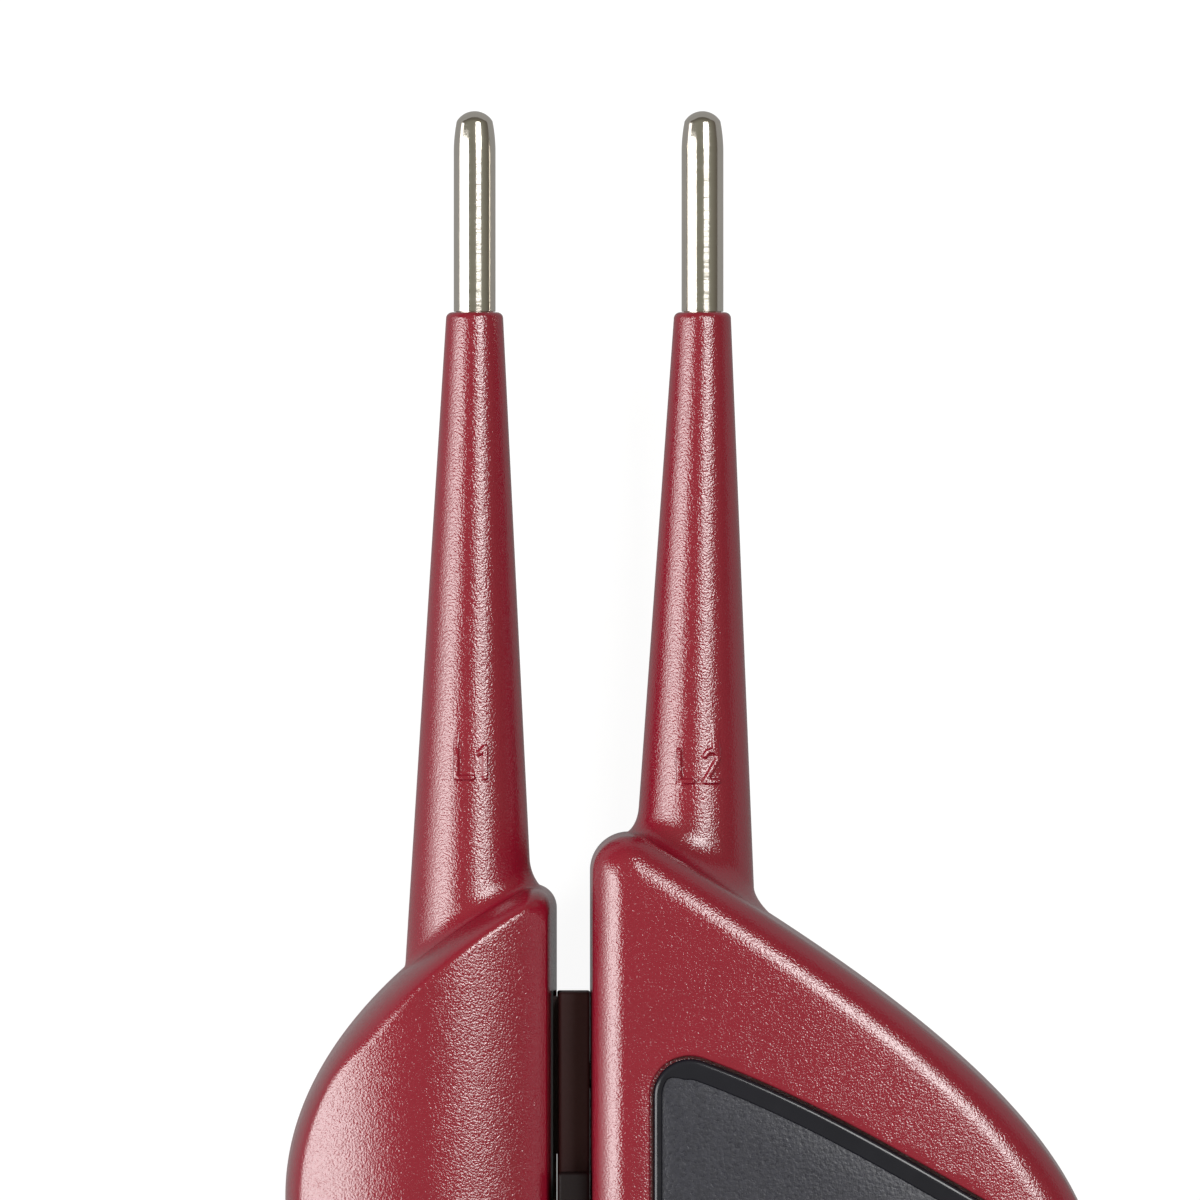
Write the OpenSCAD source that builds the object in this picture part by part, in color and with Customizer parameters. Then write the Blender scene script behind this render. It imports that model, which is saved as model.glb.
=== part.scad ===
// Two-pole voltage tester: a wide display handle and a slim second handle, docked side by side.
// The model lies on its back: X runs across the two handles, Y towards the contact tips, Z is up.
// Handles are drawn in their own plane first: u is measured from the docking wall outwards,
// v along the handle. The second handle is the same kind of moulding, mirrored.

/* [Main handle] */
// Width over the finger guard
main_w = 48.7; // [44:0.1:54]
// Width of the grip
main_grip_w = 36.3; // [32:0.1:40]
// Length of the moulded body, shoulder to foot
main_body_l = 168.7; // [160:0.1:190]
// Thickness, back to front
main_t = 36; // [34:0.5:40]
// Distance of the widest place below the shoulder
main_guard_drop = 43.5; // [38:0.5:48]
// Radius of the rounding along the front edge
main_front_r = 4.5; // [3:0.1:6]
// Radius of the shoulder's corner next to the gap
main_corner_r = 3.7; // [2.5:0.1:5]

/* [Second handle] */
// Width over the finger guard
second_w = 26; // [24:0.1:30]
// Width of the grip
second_grip_w = 19; // [18:0.1:23]
// Length of the moulded body, shoulder to foot
second_body_l = 159.7; // [152:0.1:180]
// Thickness, back to front
second_t = 30; // [28:0.5:33]
// Distance of the widest place below the shoulder
second_guard_drop = 29.9; // [27:0.5:33]
// Height of the crowned outer side
second_crown_h = 9; // [6:0.1:10]
// Radius of the sharp edge next to the gap
second_edge_r = 0.5; // [0.3:0.1:1.5]
// Radius of the shoulder's corner next to the gap
second_corner_r = 2.3; // [1.5:0.1:3]

/* [Moulding] */
// Wall of all four shells
wall = 2.4; // [1.8:0.1:2.8]
// Height of the seam between rear and front shells
seam_z = 8; // [7:0.1:9]
// Radius of the rounding along the back edge
rear_r = 5; // [3:0.1:6]
// Gap between the two docked handles
dock_gap = 3.15; // [2.6:0.05:4]
// How far the second shoulder sits below the main one
shoulder_step = 5; // [3:0.1:8]

/* [Contact necks] */
// Diameter of a contact pin
pin_d = 4; // [3.5:0.1:4.5]
// Length of pin that stands out of its neck
pin_out = 19.2; // [15:0.1:19.5]
// Length of the pin's pointed stretch below its dome
pin_nose_l = 3.9; // [2.5:0.1:5]
// Radius of a neck at its collar
neck_r = 2.7; // [2.5:0.05:3.2]
// Growth of the neck's radius for each millimetre of length
neck_taper = 0.056; // [0.04:0.002:0.06]
// Length of the main neck above the shoulder
neck_l = 49.6; // [44:0.1:54]
// Height of both contact pins above the back
pin_z = 15; // [15:0.1:16]
// Distance of the main pin from its docking wall
main_pin_u = 10.75; // [10:0.05:13]
// Distance of the second pin from its docking wall
second_pin_u = 7.85; // [7.6:0.05:8.6]
// Lean of the main neck towards the gap, in degrees
neck_lean = 0.9; // [0:0.1:1]
// Lean of the second neck away from the gap, in degrees
second_neck_lean = 0.4; // [0:0.1:0.6]

/* [Display] */
// Margin between the panel and the docking wall
panel_margin_in = 6; // [5:0.1:8]
// Margin between the panel and the guard's outline
panel_margin_out = 6.2; // [5.2:0.1:9]
// Distance of the panel's top below the shoulder
panel_drop = 21.4; // [20:0.1:24]
// Length of the panel
panel_l = 94; // [84:0.5:98]
// Thickness of the panel
panel_t = 1.8; // [1.2:0.1:2]
// Gap between the panel and its pocket
panel_gap = 0.3; // [0.15:0.05:0.4]
// Number of level lamps
lamp_count = 7; // [4:1:8]
// Spacing of the level lamps
lamp_pitch = 8.5; // [7:0.1:9]
// Diameter of a lamp's light pipe
lamp_d = 3; // [2.5:0.1:4]

/* [Push buttons] */
// Diameter of a push button
button_d = 11; // [9:0.1:12]
// Height of a button above the housing
button_proud = 1; // [0.8:0.1:1.5]
// Travel of a button
button_travel = 0.8; // [0.4:0.1:0.8]
// Distance of the main button's middle below the panel
main_button_drop = 8.5; // [8:0.5:12]
// Distance of the second button below the guard's widest place
second_button_drop = 17; // [15:0.5:20]

/* [Docking rail] */
// Length of one docking hook
hook_l = 15; // [12:0.5:16]
// Distance the second handle slides to let go of the hooks
dock_travel = 16; // [14:0.5:17]
// Distance between the two hooks
hook_pitch = 44; // [40:0.5:50]
// Thickness of a hook's head
hook_head_t = 1.8; // [1.4:0.1:2]
// Width of a hook's head
hook_head_w = 8.6; // [8:0.1:9]
// Width of a hook's web
hook_web_w = 5.4; // [4.6:0.1:6]
// Distance of the rail's top below the main shoulder
rail_drop = 15.2; // [14:0.1:18]
// Distance of the high block's top below the main shoulder
block_drop = 32.3; // [30:0.1:36]

/* [Batteries and screws] */
// Diameter of a cell
cell_d = 10.5; // [10.3:0.1:10.6]
// Length of a cell without its contact button
cell_l = 43.7; // [43:0.1:44]
// Diameter of a housing screw's shank
screw_d = 2.9; // [2.5:0.1:3]
// Diameter of a housing screw's head
screw_head_d = 5; // [4.5:0.1:5.2]
// Bore of a cable gland
gland_bore_d = 5.2; // [4.5:0.1:5.6]

/* [Hidden] */
$fn = 48;
eps = 0.01;
far = 300;
// How far a cut runs past the face that it opens, and how deep a boss roots in its wall
spare = 1;
root = 0.5;

// Clearances between pieces
fit = 0.2;
loose = 0.3;
thread_fit = 0.05;
press_gap = 0.02;

// Draft of the side walls, and of the second handle's tall docking wall
draft = 0.25;
second_draft = 0.55;

// Bow of the two fronts: drop for each square millimetre from the spine
main_bow = 0.0006;
second_bow = 0.013;

// Steps around the rounded edges, and rings between them and the spine
front_steps = 5;
rear_steps = 4;
main_fill = 1;
second_fill = 3;

// Levels along the handles, measured from the middle of the guard
main_top = 51.2;
main_foot = main_top - main_body_l;
second_top = main_top - shoulder_step;
second_foot = second_top - second_body_l;
collar_v = main_top + neck_l;
tip_v = collar_v + pin_out;
panel_foot = main_top - panel_drop - panel_l;
gland_flange_t = 2.5;

// The part's frame: the middle of its box across and along
shift_x = (second_w - main_w) / 2;
shift_y = -(tip_v + main_foot - gland_flange_t) / 2;

// Curves of the two outlines: where the brow leaves the shoulder's corner, how far its two ends pull
// on it, the radii at the foot, and the length of the sweep from the guard down to the grip
main_curves = [58, 17, 17.4, 12, 5, 46];
second_curves = [63, 10, 14.5, 5, 4, 40];

// A handle's outline is one list of sizes, read through the functions below
main_h = concat([main_w, main_grip_w, main_top, main_foot, main_top - main_guard_drop, main_corner_r],
    main_curves);
second_h = concat([second_w, second_grip_w, second_top, second_foot, second_top - second_guard_drop,
    second_corner_r], second_curves);
function body_w(h) = h[0];
function grip_w(h) = h[1];
function top_v(h) = h[2];
function foot_v(h) = h[3];
function guard_v(h) = h[4];
function corner_r(h) = h[5];
function brow_angle(h) = h[6];
function brow_pull(h) = h[7];
function guard_pull(h) = h[8];
function heel_r(h) = h[9];
function toe_r(h) = h[10];
function sweep_l(h) = h[11];

// Points of a cubic curve with four control points, from share t0 to share t1
function cubic(p, t) = pow(1 - t, 3) * p[0] + 3 * pow(1 - t, 2) * t * p[1]
    + 3 * (1 - t) * t * t * p[2] + t * t * t * p[3];
function curve(p, n, first, last) = [for (i = [first:last]) cubic(p, i / n)];
function arc(c, r, a0, a1, n, first = 0) = [for (i = [first:n])
    let (a = a0 + (a1 - a0) * i / n)
    c + r * [cos(a), sin(a)]];
function mix(a, b, t) = a + (b - a) * t;

// The guard's brow runs from the widest place up to the shoulder's round corner
brow_n = 10;
brow_kept = 7;
sweep_n = 6;
grip_n = 4;
function corner_c(h) = [corner_r(h), top_v(h) - corner_r(h)];
function brow_end(h) = corner_c(h) + corner_r(h) * [cos(brow_angle(h)), sin(brow_angle(h))];
function brow(h) = [
    [body_w(h), guard_v(h)],
    [body_w(h), guard_v(h) + guard_pull(h)],
    brow_end(h) + brow_pull(h) * [sin(brow_angle(h)), -cos(brow_angle(h))],
    brow_end(h)];
function sweep(h) = [
    [grip_w(h), guard_v(h) - sweep_l(h)],
    [grip_w(h), guard_v(h) - sweep_l(h) / 2],
    [body_w(h), guard_v(h) - sweep_l(h) / 3],
    [body_w(h), guard_v(h)]];
function grip(h) = [for (i = [0:grip_n - 1])
    [grip_w(h), mix(foot_v(h) + heel_r(h), guard_v(h) - sweep_l(h), i / grip_n)]];

// Stations up the outer side, each matched by a point of the docking wall at the same v
function outer_side(h) = concat(grip(h), curve(sweep(h), sweep_n, 0, sweep_n - 1),
    curve(brow(h), brow_n, 0, brow_kept));
function top_cap(h) = concat(curve(brow(h), brow_n, brow_kept + 1, brow_n - 1),
    arc(corner_c(h), corner_r(h), brow_angle(h), 180, 6));
function foot_cap(h) = concat(arc([toe_r(h), foot_v(h) + toe_r(h)], toe_r(h), 180, 270, 4),
    arc([grip_w(h) - heel_r(h), foot_v(h) + heel_r(h)], heel_r(h), 270, 360, 5)
);
function drop_last(list) = [for (i = [0:len(list) - 2]) list[i]];
function outline(h) =
    let (side = outer_side(h), n = len(side))
    concat(side, top_cap(h), [for (i = [n - 1:-1:0]) [0, side[i][1]]], drop_last(foot_cap(h)));

// Each outline point travels inwards towards a point of the handle's spine
function spine(h) = [for (p = outer_side(h)) [p[0] / 2, p[1]]];
function spine_index(h) =
    let (n = len(outer_side(h)), c = len(top_cap(h)), f = len(foot_cap(h)) - 1)
    concat([for (i = [0:n - 1]) i], [for (i = [1:c]) n - 1], [for (i = [n - 1:-1:0]) i],
        [for (i = [1:f]) 0]);
function unit(a) = a / norm(a);
function inward(pts) = [for (i = [0:len(pts) - 1])
    let (n = len(pts), t = unit(pts[(i + 1) % n] - pts[(i + n - 1) % n]))
    [-t[1], t[0]]];

// A crowned tray is described by rings, which go from the outline towards the spine. A ring stops
// short of the spine by the shares below, and its height follows the crown above it.
reach_limit = 0.94;
round_limit = 0.92;
function reach(o, s, n) = (s - o) * n;
function moved(o, s, n, d) = o + (s - o) * min(reach_limit, d / reach(o, s, n));
function crown(u, mid, top, bow) = top - bow * pow(u - mid, 2);

// Rings of one surface, from the seam to the spine. The edge radius and the draft go from their
// inner values at the docking wall to their outer values at the outer side.
function rings(h, seam, base, top, r_in, r_out, bow, inset, d_in, d_out, steps, fill) =
    let (o = outline(h), s = spine(h), k = spine_index(h), n = inward(o), m = len(o))
    concat(
        [[for (i = [0:m - 1])
            let (p = moved(o[i], s[k[i]], n[i], inset))
            [p[0], p[1], seam]]],
        [for (j = [0:steps])
            [for (i = [0:m - 1])
                let (a = 90 * j / steps, q = s[k[i]], w = (1 - n[i][0]) / 2,
                    drafted = inset + mix(d_in, d_out, w),
                    room = round_limit * reach(o[i], q, n[i]) - drafted,
                    r = min(mix(r_in, r_out, w), room),
                    p = moved(o[i], q, n[i], drafted + r * (1 - cos(a))))
                [p[0], p[1], base + (crown(p[0], q[0], top, bow) - base) * sin(a)]]],
        [for (f = [1:1:fill])
            [for (i = [0:m - 1])
                let (q = s[k[i]], w = (1 - n[i][0]) / 2,
                    drafted = inset + mix(d_in, d_out, w),
                    room = round_limit * reach(o[i], q, n[i]) - drafted,
                    r = min(mix(r_in, r_out, w), room),
                    a = moved(o[i], q, n[i], drafted + r),
                    p = mix(a, q, f / (fill + 1)))
                [p[0], p[1], crown(p[0], q[0], top, bow)]]]);

// Triangles between two rings of m points, the first at index a and the second at index b
function belt(a, b, m, flip) = [for (i = [0:m - 1])
    let (j = (i + 1) % m)
    for (t = [[a + i, a + j, b + j], [a + i, b + j, b + i]])
        flip ? [t[0], t[2], t[1]] : t];
// Triangles from the last ring to the spine's points, which start at index b
function closing(a, b, k, m, flip) = [for (i = [0:m - 1])
    let (j = (i + 1) % m)
    for (t = concat([[a + i, a + j, b + k[j]]], k[i] == k[j] ? [] : [[a + i, b + k[j], b + k[i]]]))
        flip ? [t[0], t[2], t[1]] : t];
function flat(lists) = [for (l = lists) for (x = l) x];
function surface_faces(rs, start, k, flip) =
    let (m = len(rs[0]), n = len(rs))
    concat(flat([for (r = [0:n - 2]) belt(start + r * m, start + (r + 1) * m, m, flip)]),
        closing(start + (n - 1) * m, start + n * m, k, m, flip));

// The solid body of a tray, inset from its outer surface: it trims what stands inside the tray
module tray_core(h, seam, base, top, r_in, r_out, bow, d_in, d_out, steps, fill, inset) {
    dir = top > seam ? 1 : -1;
    s = spine(h);
    k = spine_index(h);
    rs = rings(h, seam, base, top - dir * inset, r_in, r_out, bow, inset, d_in, d_out, steps, fill);
    m = len(rs[0]);
    points = concat(flat(rs), [for (p = s) [p[0], p[1], top - dir * inset]],
        [for (p = s) [p[0], p[1], seam]]);
    last = m * len(rs);
    polyhedron(points, concat(surface_faces(rs, 0, k, top > seam),
        closing(0, last + len(s), k, m, top < seam)));
}

// One moulded tray: an outer and an inner surface joined by the rim at the seam
module tray(h, seam, base, top, r_in, r_out, bow, d_in, d_out, steps, fill, thick) {
    up = top > seam;
    dir = up ? 1 : -1;
    s = spine(h);
    k = spine_index(h);
    outer = rings(h, seam, base, top, r_in, r_out, bow, 0, d_in, d_out, steps, fill);
    inner = rings(h, seam, base - dir * thick / 2, top - dir * thick, max(r_in - thick, 0.4),
        max(r_out - thick, 1), bow, thick, d_in, d_out, ceil(steps / 2), fill);
    m = len(outer[0]);
    outer_spine = [for (p = s) [p[0], p[1], top]];
    inner_spine = [for (p = s) [p[0], p[1], top - dir * thick]];
    points = concat(flat(outer), outer_spine, flat(inner), inner_spine);
    inner_start = m * len(outer) + len(s);
    faces = concat(surface_faces(outer, 0, k, up), surface_faces(inner, inner_start, k, !up),
        belt(0, inner_start, m, !up));
    polyhedron(points, faces);
}

// Places handle coordinates in the part's frame
module place_main() {
    translate([shift_x + dock_gap / 2, shift_y, 0]) children();
}
module place_second() {
    translate([shift_x - dock_gap / 2, shift_y, 0]) mirror([1, 0, 0]) children();
}

// Round solids along Z, along the handle and across it, and a box between two corners
module post(p, z0, z1, r) {
    translate([p[0], p[1], z0]) cylinder(h = z1 - z0, r = r);
}
module rod_y(u, z, v0, v1, r0, r1) {
    translate([u, v0, z]) rotate([-90, 0, 0]) cylinder(h = v1 - v0, r1 = r0, r2 = r1);
}
module rod_x(u0, u1, v, z, r) {
    translate([u0, v, z]) rotate([0, 90, 0]) cylinder(h = u1 - u0, r = r);
}
module block(a, b) {
    translate(a) cube(b - a);
}

// Housing screws, driven from the back into bosses of the front shells
screw_r = screw_d / 2;
pilot_r = screw_r + thread_fit;
head_r = screw_head_d / 2;
boss_wall = 1.75;
boss_r = screw_r + boss_wall;
head_h = 2;
head_seat = 3.5;
screw_l = 16;
screw_end = head_seat + screw_l;
foot_screw_in = 9;
toe_screw_in = 3;
heel_screw_in = 9.3;
shoulder_screw = [8, 24];
guard_screw = [11.5, 3];
main_screws = [
    [main_w - guard_screw[0], guard_v(main_h) + guard_screw[1]],
    [shoulder_screw[0], main_top - shoulder_screw[1]],
    [toe_r(main_h) + toe_screw_in, main_foot + foot_screw_in],
    [main_grip_w - heel_screw_in, main_foot + foot_screw_in]];
second_guard_screw = [7, 1];
second_grip_screw = [1.5, 22];
second_foot_screw_in = 18;
second_screws = [
    [second_w - second_guard_screw[0], guard_v(second_h) + second_guard_screw[1]],
    [second_grip_w / 2 + second_grip_screw[0],
        guard_v(second_h) - sweep_l(second_h) - second_grip_screw[1]],
    [second_grip_w / 2, second_foot + second_foot_screw_in]];

// Cross recess of a screw head: half its length, half its width, and its depth
recess_half_l = 1.3;
recess_half_w = 0.3;
recess_depth = 0.9;

// Battery bay, sunk into the rear shell and closed by a screwed cover
bay_play = 4.5;
bay_in = 18.8;
bay_w = 2 * cell_d + 2 * loose;
bay_l = cell_l + bay_play;
bay_wall = 1.4;
bay_u = main_grip_w / 2 - bay_w / 2;
bay_v = main_foot + bay_in;
bay_top = wall + cell_d + 2 * loose;
cell_z = wall + cell_d / 2 + loose;
cell_u = [bay_u + loose / 2 + cell_d / 2, bay_u + bay_w - loose / 2 - cell_d / 2];
cell_start = 2;
cell_v = bay_v + cell_start;
cell_tip_r = 1.9;
cell_tip_h = 0.8;
cover_rim = 0.8;
cover_tab = 8.5;
cover_l = bay_l + cover_tab;
cover_t = wall - 0.5;
cover_screw_in = 4;
cover_screw_p = [main_grip_w / 2, bay_v + bay_l + cover_screw_in];

// Contact springs of the battery bay
contact_half_w = 4;
contact_t = 0.4;
spring_r = 3.6;
spring_tip_r = 2;

// Boards, their studs and their screws
board_t = 1.6;
board_clear = 1;
board_end = 4;
board_low = 9;
second_board_low = 8;
main_board_drop = 6.6;
second_board_drop = 9;
main_board_z = main_t - wall - main_board_drop;
second_board_z = second_t - wall - second_board_drop;
stud_r = 2.2;
stud_pilot_r = 1.05;
stud_skin = 0.6;
board_hole_r = 1.2;
board_screw_r = 1;
board_screw_head_r = 2;
board_screw_head_h = 1.4;
board_screw_l = 3;
post_drop = 9;
guard_post_in = 17;
grip_post = [7, 4];
second_guard_post_in = 7.5;
second_grip_post = [1.5, 44];
board_posts = [[main_w - guard_post_in, guard_v(main_h) - post_drop],
    [main_grip_w - grip_post[0], panel_foot - grip_post[1]]];
second_posts = [[second_w - second_guard_post_in, guard_v(second_h) - post_drop],
    [second_grip_w / 2 + second_grip_post[0], guard_v(second_h) - second_grip_post[1]]];

// Buttons stand on a switch's plunger and are held in by a flange
button_r = button_d / 2;
button_edge = 0.5;
button_dish_r = 25;
button_dish = 0.4;
flange_extra = 0.8;
flange_t = 1.4;
flange_lift = 0.4;
switch_h = 2;
switch_half_w = 3;
switch_floor = 0.2;
plunger_r = 1.6;
plunger_gap = 0.1;
plunger_in = button_travel + plunger_gap;
main_button_p = [main_grip_w / 2, panel_foot - main_button_drop];
second_button_in = 2;
second_button_p = [second_w / 2 - second_button_in, guard_v(second_h) - second_button_drop];

// Docking: the hooks' centre height is the pins' height
dock_z = pin_z;
rail_top = main_top - rail_drop;
rail_play = 0.5;
rail_t = dock_gap - rail_play;
rail_half = 7;
rail_edge = [0.6, 1];
rail_tail = 8;
rail_foot_v = rail_top - rail_play - hook_l - hook_pitch - dock_travel - rail_tail;
hook_v = [rail_top - rail_play - hook_l, rail_top - rail_play - hook_l - hook_pitch];
block_top = main_top - block_drop;
block_z = 28;
channel_face = 0.35;
lip_t = 1.7;
pocket_t = hook_head_t + 2 * fit;
channel_back = 1.1;
channel_u = channel_face + lip_t + pocket_t + channel_back;
channel_rim = 1;
channel_half = hook_head_w / 2 + loose + channel_rim;
channel_top = rail_top + channel_rim;
channel_foot = hook_v[1] - dock_travel - 1.5 * channel_rim;
channel_fit = 0.1;
hook_reach = dock_gap + channel_face + lip_t + fit + hook_head_t;
rail_screw_r = 1.2;
rail_screw_head_r = 2.2;
rail_screw_head_h = 1.4;
rail_screw_tip = 2;

// Cable glands
gland_r = 4;
gland_flange_r = 5;
gland_edge = 0.6;
gland_round = 1.2;
gland_z = pin_z;
gland_fit = 0.1;
function gland_u(h) = (toe_r(h) + grip_w(h) - heel_r(h)) / 2;

// Necks and pins: the dome at a pin's tip covers the angle above dome_angle
neck_end_r = 0.6;
neck_root = 8.2;
pin_tail_l = 1.5;
pin_shoulder = 0.2;
dome_angle = 31;
nose_steps = 4;
lead_half_w = 1;

// A neck with its rounded collar, drawn about its own axis and laid along the handle. A positive
// lean brings its root nearer to the gap than its collar.
module neck(h, u, lean) {
    l = collar_v - top_v(h) + neck_root;
    root_r = neck_r + neck_taper * l;
    translate([u, collar_v, pin_z]) rotate([-90, 0, -lean]) translate([0, 0, -l])
        rotate_extrude() polygon(concat(
            [[0, 0], [root_r, 0]],
            arc([neck_r - neck_end_r, l - neck_end_r], neck_end_r, 0, 90, 5),
            [[0, l]]));
}
module pin_bore(h, u) {
    r = pin_d / 2 - pin_shoulder + press_gap;
    rod_y(u, pin_z, top_v(h) - neck_root - spare, collar_v + spare, r, r);
}

// Contact pin: a dome, a pointed stretch, a plain stretch with a shoulder at the collar, and a
// thinner shank pressed into the neck
module contact_pin(h, u) {
    r = pin_d / 2;
    shank_r = r - pin_shoulder;
    start = top_v(h) - neck_root - pin_tail_l;
    l = tip_v - start;
    nose = l - pin_nose_l;
    shoulder = collar_v + thread_fit - start;
    rim = [r * cos(dome_angle), l - r + r * sin(dome_angle)];
    translate([u, start, pin_z]) rotate([-90, 0, 0]) rotate_extrude() polygon(concat(
        [[0, 0], [shank_r, 0], [shank_r, shoulder], [r, shoulder], [r, nose]],
        [for (i = [1:nose_steps])
            [mix(r, rim[0], pow(i / nose_steps, 2)), mix(nose, rim[1], i / nose_steps)]],
        arc([0, l - r], r, dome_angle, 90, 5, 1)));
}

// A flat lead from the end of a pin up to its board
module pin_lead(h, u, board_z) {
    v = top_v(h) - neck_root - pin_tail_l;
    block([u - lead_half_w, v - lead_half_w, pin_z - lead_half_w], [u + lead_half_w, v, board_z]);
}

// Panel outline: the guard's outline moved in, a curved top edge and round corners
panel_r = 3.5;
panel_low = panel_foot + panel_r;
knee_r = 5;
knee_rise = 2.6;
knee_angle = 60;
start_angle = 70;
top_pull = 11;
top_n = 6;
panel_floor = 1.2;
panel_steps = [[0, 0.5], [0.4, 0.2], [1, 0]];
function panel_side() = [for (p = outer_side(main_h))
    if (p[1] > panel_low && p[1] < guard_v(main_h) + 0.5) [p[0] - panel_margin_out, p[1]]];
function panel_outline() =
    let (r = panel_r, out = main_grip_w - panel_margin_out,
        knee = [main_w - panel_margin_out - knee_r, guard_v(main_h) + knee_rise],
        start = [panel_margin_in + r, main_top - panel_drop - r],
        knee_end = knee + knee_r * [cos(knee_angle), sin(knee_angle)],
        start_end = start + r * [cos(start_angle), sin(start_angle)],
        top = [knee_end, knee_end + top_pull * [-sin(knee_angle), cos(knee_angle)],
            start_end + top_pull * [sin(start_angle), -cos(start_angle)], start_end])
    concat(
        arc([out - r, panel_low], r, 270, 360, 4),
        panel_side(),
        arc(knee, knee_r, 0, knee_angle, 4),
        curve(top, top_n, 1, top_n - 1),
        arc(start, r, start_angle, 180, 6),
        arc([panel_margin_in + r, panel_low], r, 180, 270, 4));
module panel_shape(grow) {
    offset(delta = grow) polygon(panel_outline());
}

// Level lamps: light pipes that stand on their lights and reach the panel's face
lamp_in = 9;
lamp_start = 4;
lamp_flange = 0.5;
lamp_proud = 0.2;
led_size = [3.2, 1.6, 1.1];
lamp_gap = 0.5;
lamp_u = panel_margin_in + lamp_in;
lamp_top = guard_v(main_h) - lamp_start;
lamps = [for (i = [0:lamp_count - 1]) [lamp_u, lamp_top - i * lamp_pitch]];

// An eight-sided rod along the handle, given by the distance of its flats from its axis
module octagon_rod(u, z, v0, v1, flat_r) {
    half_side = 180 / 8;
    translate([u, v0, z]) rotate([-90, 0, 0]) rotate([0, 0, half_side])
        cylinder(h = v1 - v0, r = flat_r / cos(half_side), $fn = 8);
}

// Hole for a gland's eight-sided neck in a shell's foot wall, which keeps the gland from turning
module gland_hole(h) {
    octagon_rod(gland_u(h), gland_z, foot_v(h) - spare, foot_v(h) + wall + 2 * spare, gland_r + gland_fit);
}

module main_front_shell() {
    ceiling = main_t - wall;
    pocket = main_t - panel_t;
    color("firebrick") place_main() difference() {
        union() {
            tray(main_h, seam_z, main_t - main_front_r, main_t, main_front_r, main_front_r, main_bow,
                draft, draft, front_steps, main_fill, wall);
            neck(main_h, main_pin_u, neck_lean);
            for (p = main_screws) post(p, seam_z, ceiling + root, boss_r);
            for (p = board_posts) post(p, main_board_z + board_t, ceiling + root, stud_r);
            translate([0, 0, pocket - panel_floor]) linear_extrude(panel_floor)
                panel_shape(panel_gap + panel_floor);
        }
        pin_bore(main_h, main_pin_u);
        for (p = main_screws) post(p, seam_z - spare, screw_end + spare, pilot_r);
        for (p = board_posts) post(p, main_board_z, ceiling - stud_skin, stud_pilot_r);
        translate([0, 0, pocket]) linear_extrude(panel_t + spare) panel_shape(panel_gap);
        for (p = lamps) post(p, pocket - panel_floor - spare, main_t, lamp_d / 2 + fit);
        post(main_button_p, ceiling - spare, main_t + spare, button_r + fit);
        gland_hole(main_h);
        for (v = hook_v)
            rod_x(-spare, wall + 2 * spare, v + hook_l / 2, dock_z, rail_screw_r + channel_fit);
    }
}

module main_rear_shell() {
    color("firebrick") place_main() difference() {
        union() {
            tray(main_h, seam_z, rear_r, 0, rear_r, rear_r, 0, draft, draft, rear_steps, 0, wall);
            for (p = main_screws) post(p, wall - root, seam_z, boss_r);
            post(cover_screw_p, wall - root, seam_z + 2, boss_r);
            block([bay_u - bay_wall, bay_v - bay_wall, wall - root],
                [bay_u + bay_w + bay_wall, bay_v + bay_l + bay_wall, bay_top + bay_wall]);
        }
        block([bay_u, bay_v, -spare], [bay_u + bay_w, bay_v + bay_l, bay_top]);
        block([bay_u - cover_rim - fit, bay_v - cover_rim - fit, -spare],
            [bay_u + bay_w + cover_rim + fit, bay_v - cover_rim + cover_l + fit, cover_t]);
        post(cover_screw_p, 0, seam_z + spare, pilot_r);
        for (p = main_screws) screw_way(p);
    }
}

// Way of a housing screw through a rear shell, with the recess for its head
module screw_way(p) {
    post(p, -spare, seam_z + spare, screw_r + fit);
    post(p, -spare, head_seat, head_r + loose);
}

// The panel's edge is stepped, which rounds it
module display_panel() {
    z0 = main_t - panel_t;
    color("#2f3034") place_main() difference() {
        for (s = panel_steps) translate([0, 0, z0]) linear_extrude(panel_t - s[1]) panel_shape(-s[0]);
        for (p = lamps) post(p, z0 - spare, main_t + spare, lamp_d / 2 + fit);
    }
}

module indicator_lamps() {
    z0 = main_board_z + board_t + led_size[2] + lamp_gap;
    color("gainsboro") place_main() for (p = lamps) {
        post(p, z0, main_t - panel_t - panel_floor - fit, lamp_d / 2 + lamp_flange);
        post(p, z0, main_t + lamp_proud, lamp_d / 2);
    }
}

module indicator_leds() {
    z0 = main_board_z + board_t;
    half = led_size / 2;
    color("khaki") place_main() for (p = lamps)
        block([p[0] - half[0], p[1] - half[1], z0], [p[0] + half[0], p[1] + half[1], z0 + led_size[2]]);
}

// Boards follow the handle's outline inside the wall
module board(h, z, posts, screws, foot, head, in_u) {
    difference() {
        translate([0, 0, z]) linear_extrude(board_t) intersection() {
            offset(delta = -(wall + second_draft + board_clear)) polygon(outline(h));
            translate([in_u, foot]) square([far, head - foot]);
        }
        for (p = posts) post(p, z - spare, z + board_t + spare, board_hole_r);
        for (p = screws) post(p, z - spare, z + board_t + spare, boss_r + fit + loose);
    }
}
main_board_foot = main_button_p[1] - board_low;
main_board_head = main_top - neck_root - board_end;
second_board_foot = second_posts[1][1] - second_board_low;
second_board_head = second_top - neck_root - board_end;

module main_circuit_board() {
    color("darkgreen") place_main() board(main_h, main_board_z, board_posts, main_screws,
        main_board_foot, main_board_head, wall + board_clear);
}

module board_screw(p, z) {
    post(p, z - board_screw_head_h, z, board_screw_head_r);
    post(p, z - board_screw_head_h / 2, z + board_t + board_screw_l, board_screw_r);
}
module board_screws() {
    color("silver") place_main() for (p = board_posts) board_screw(p, main_board_z);
}

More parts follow.
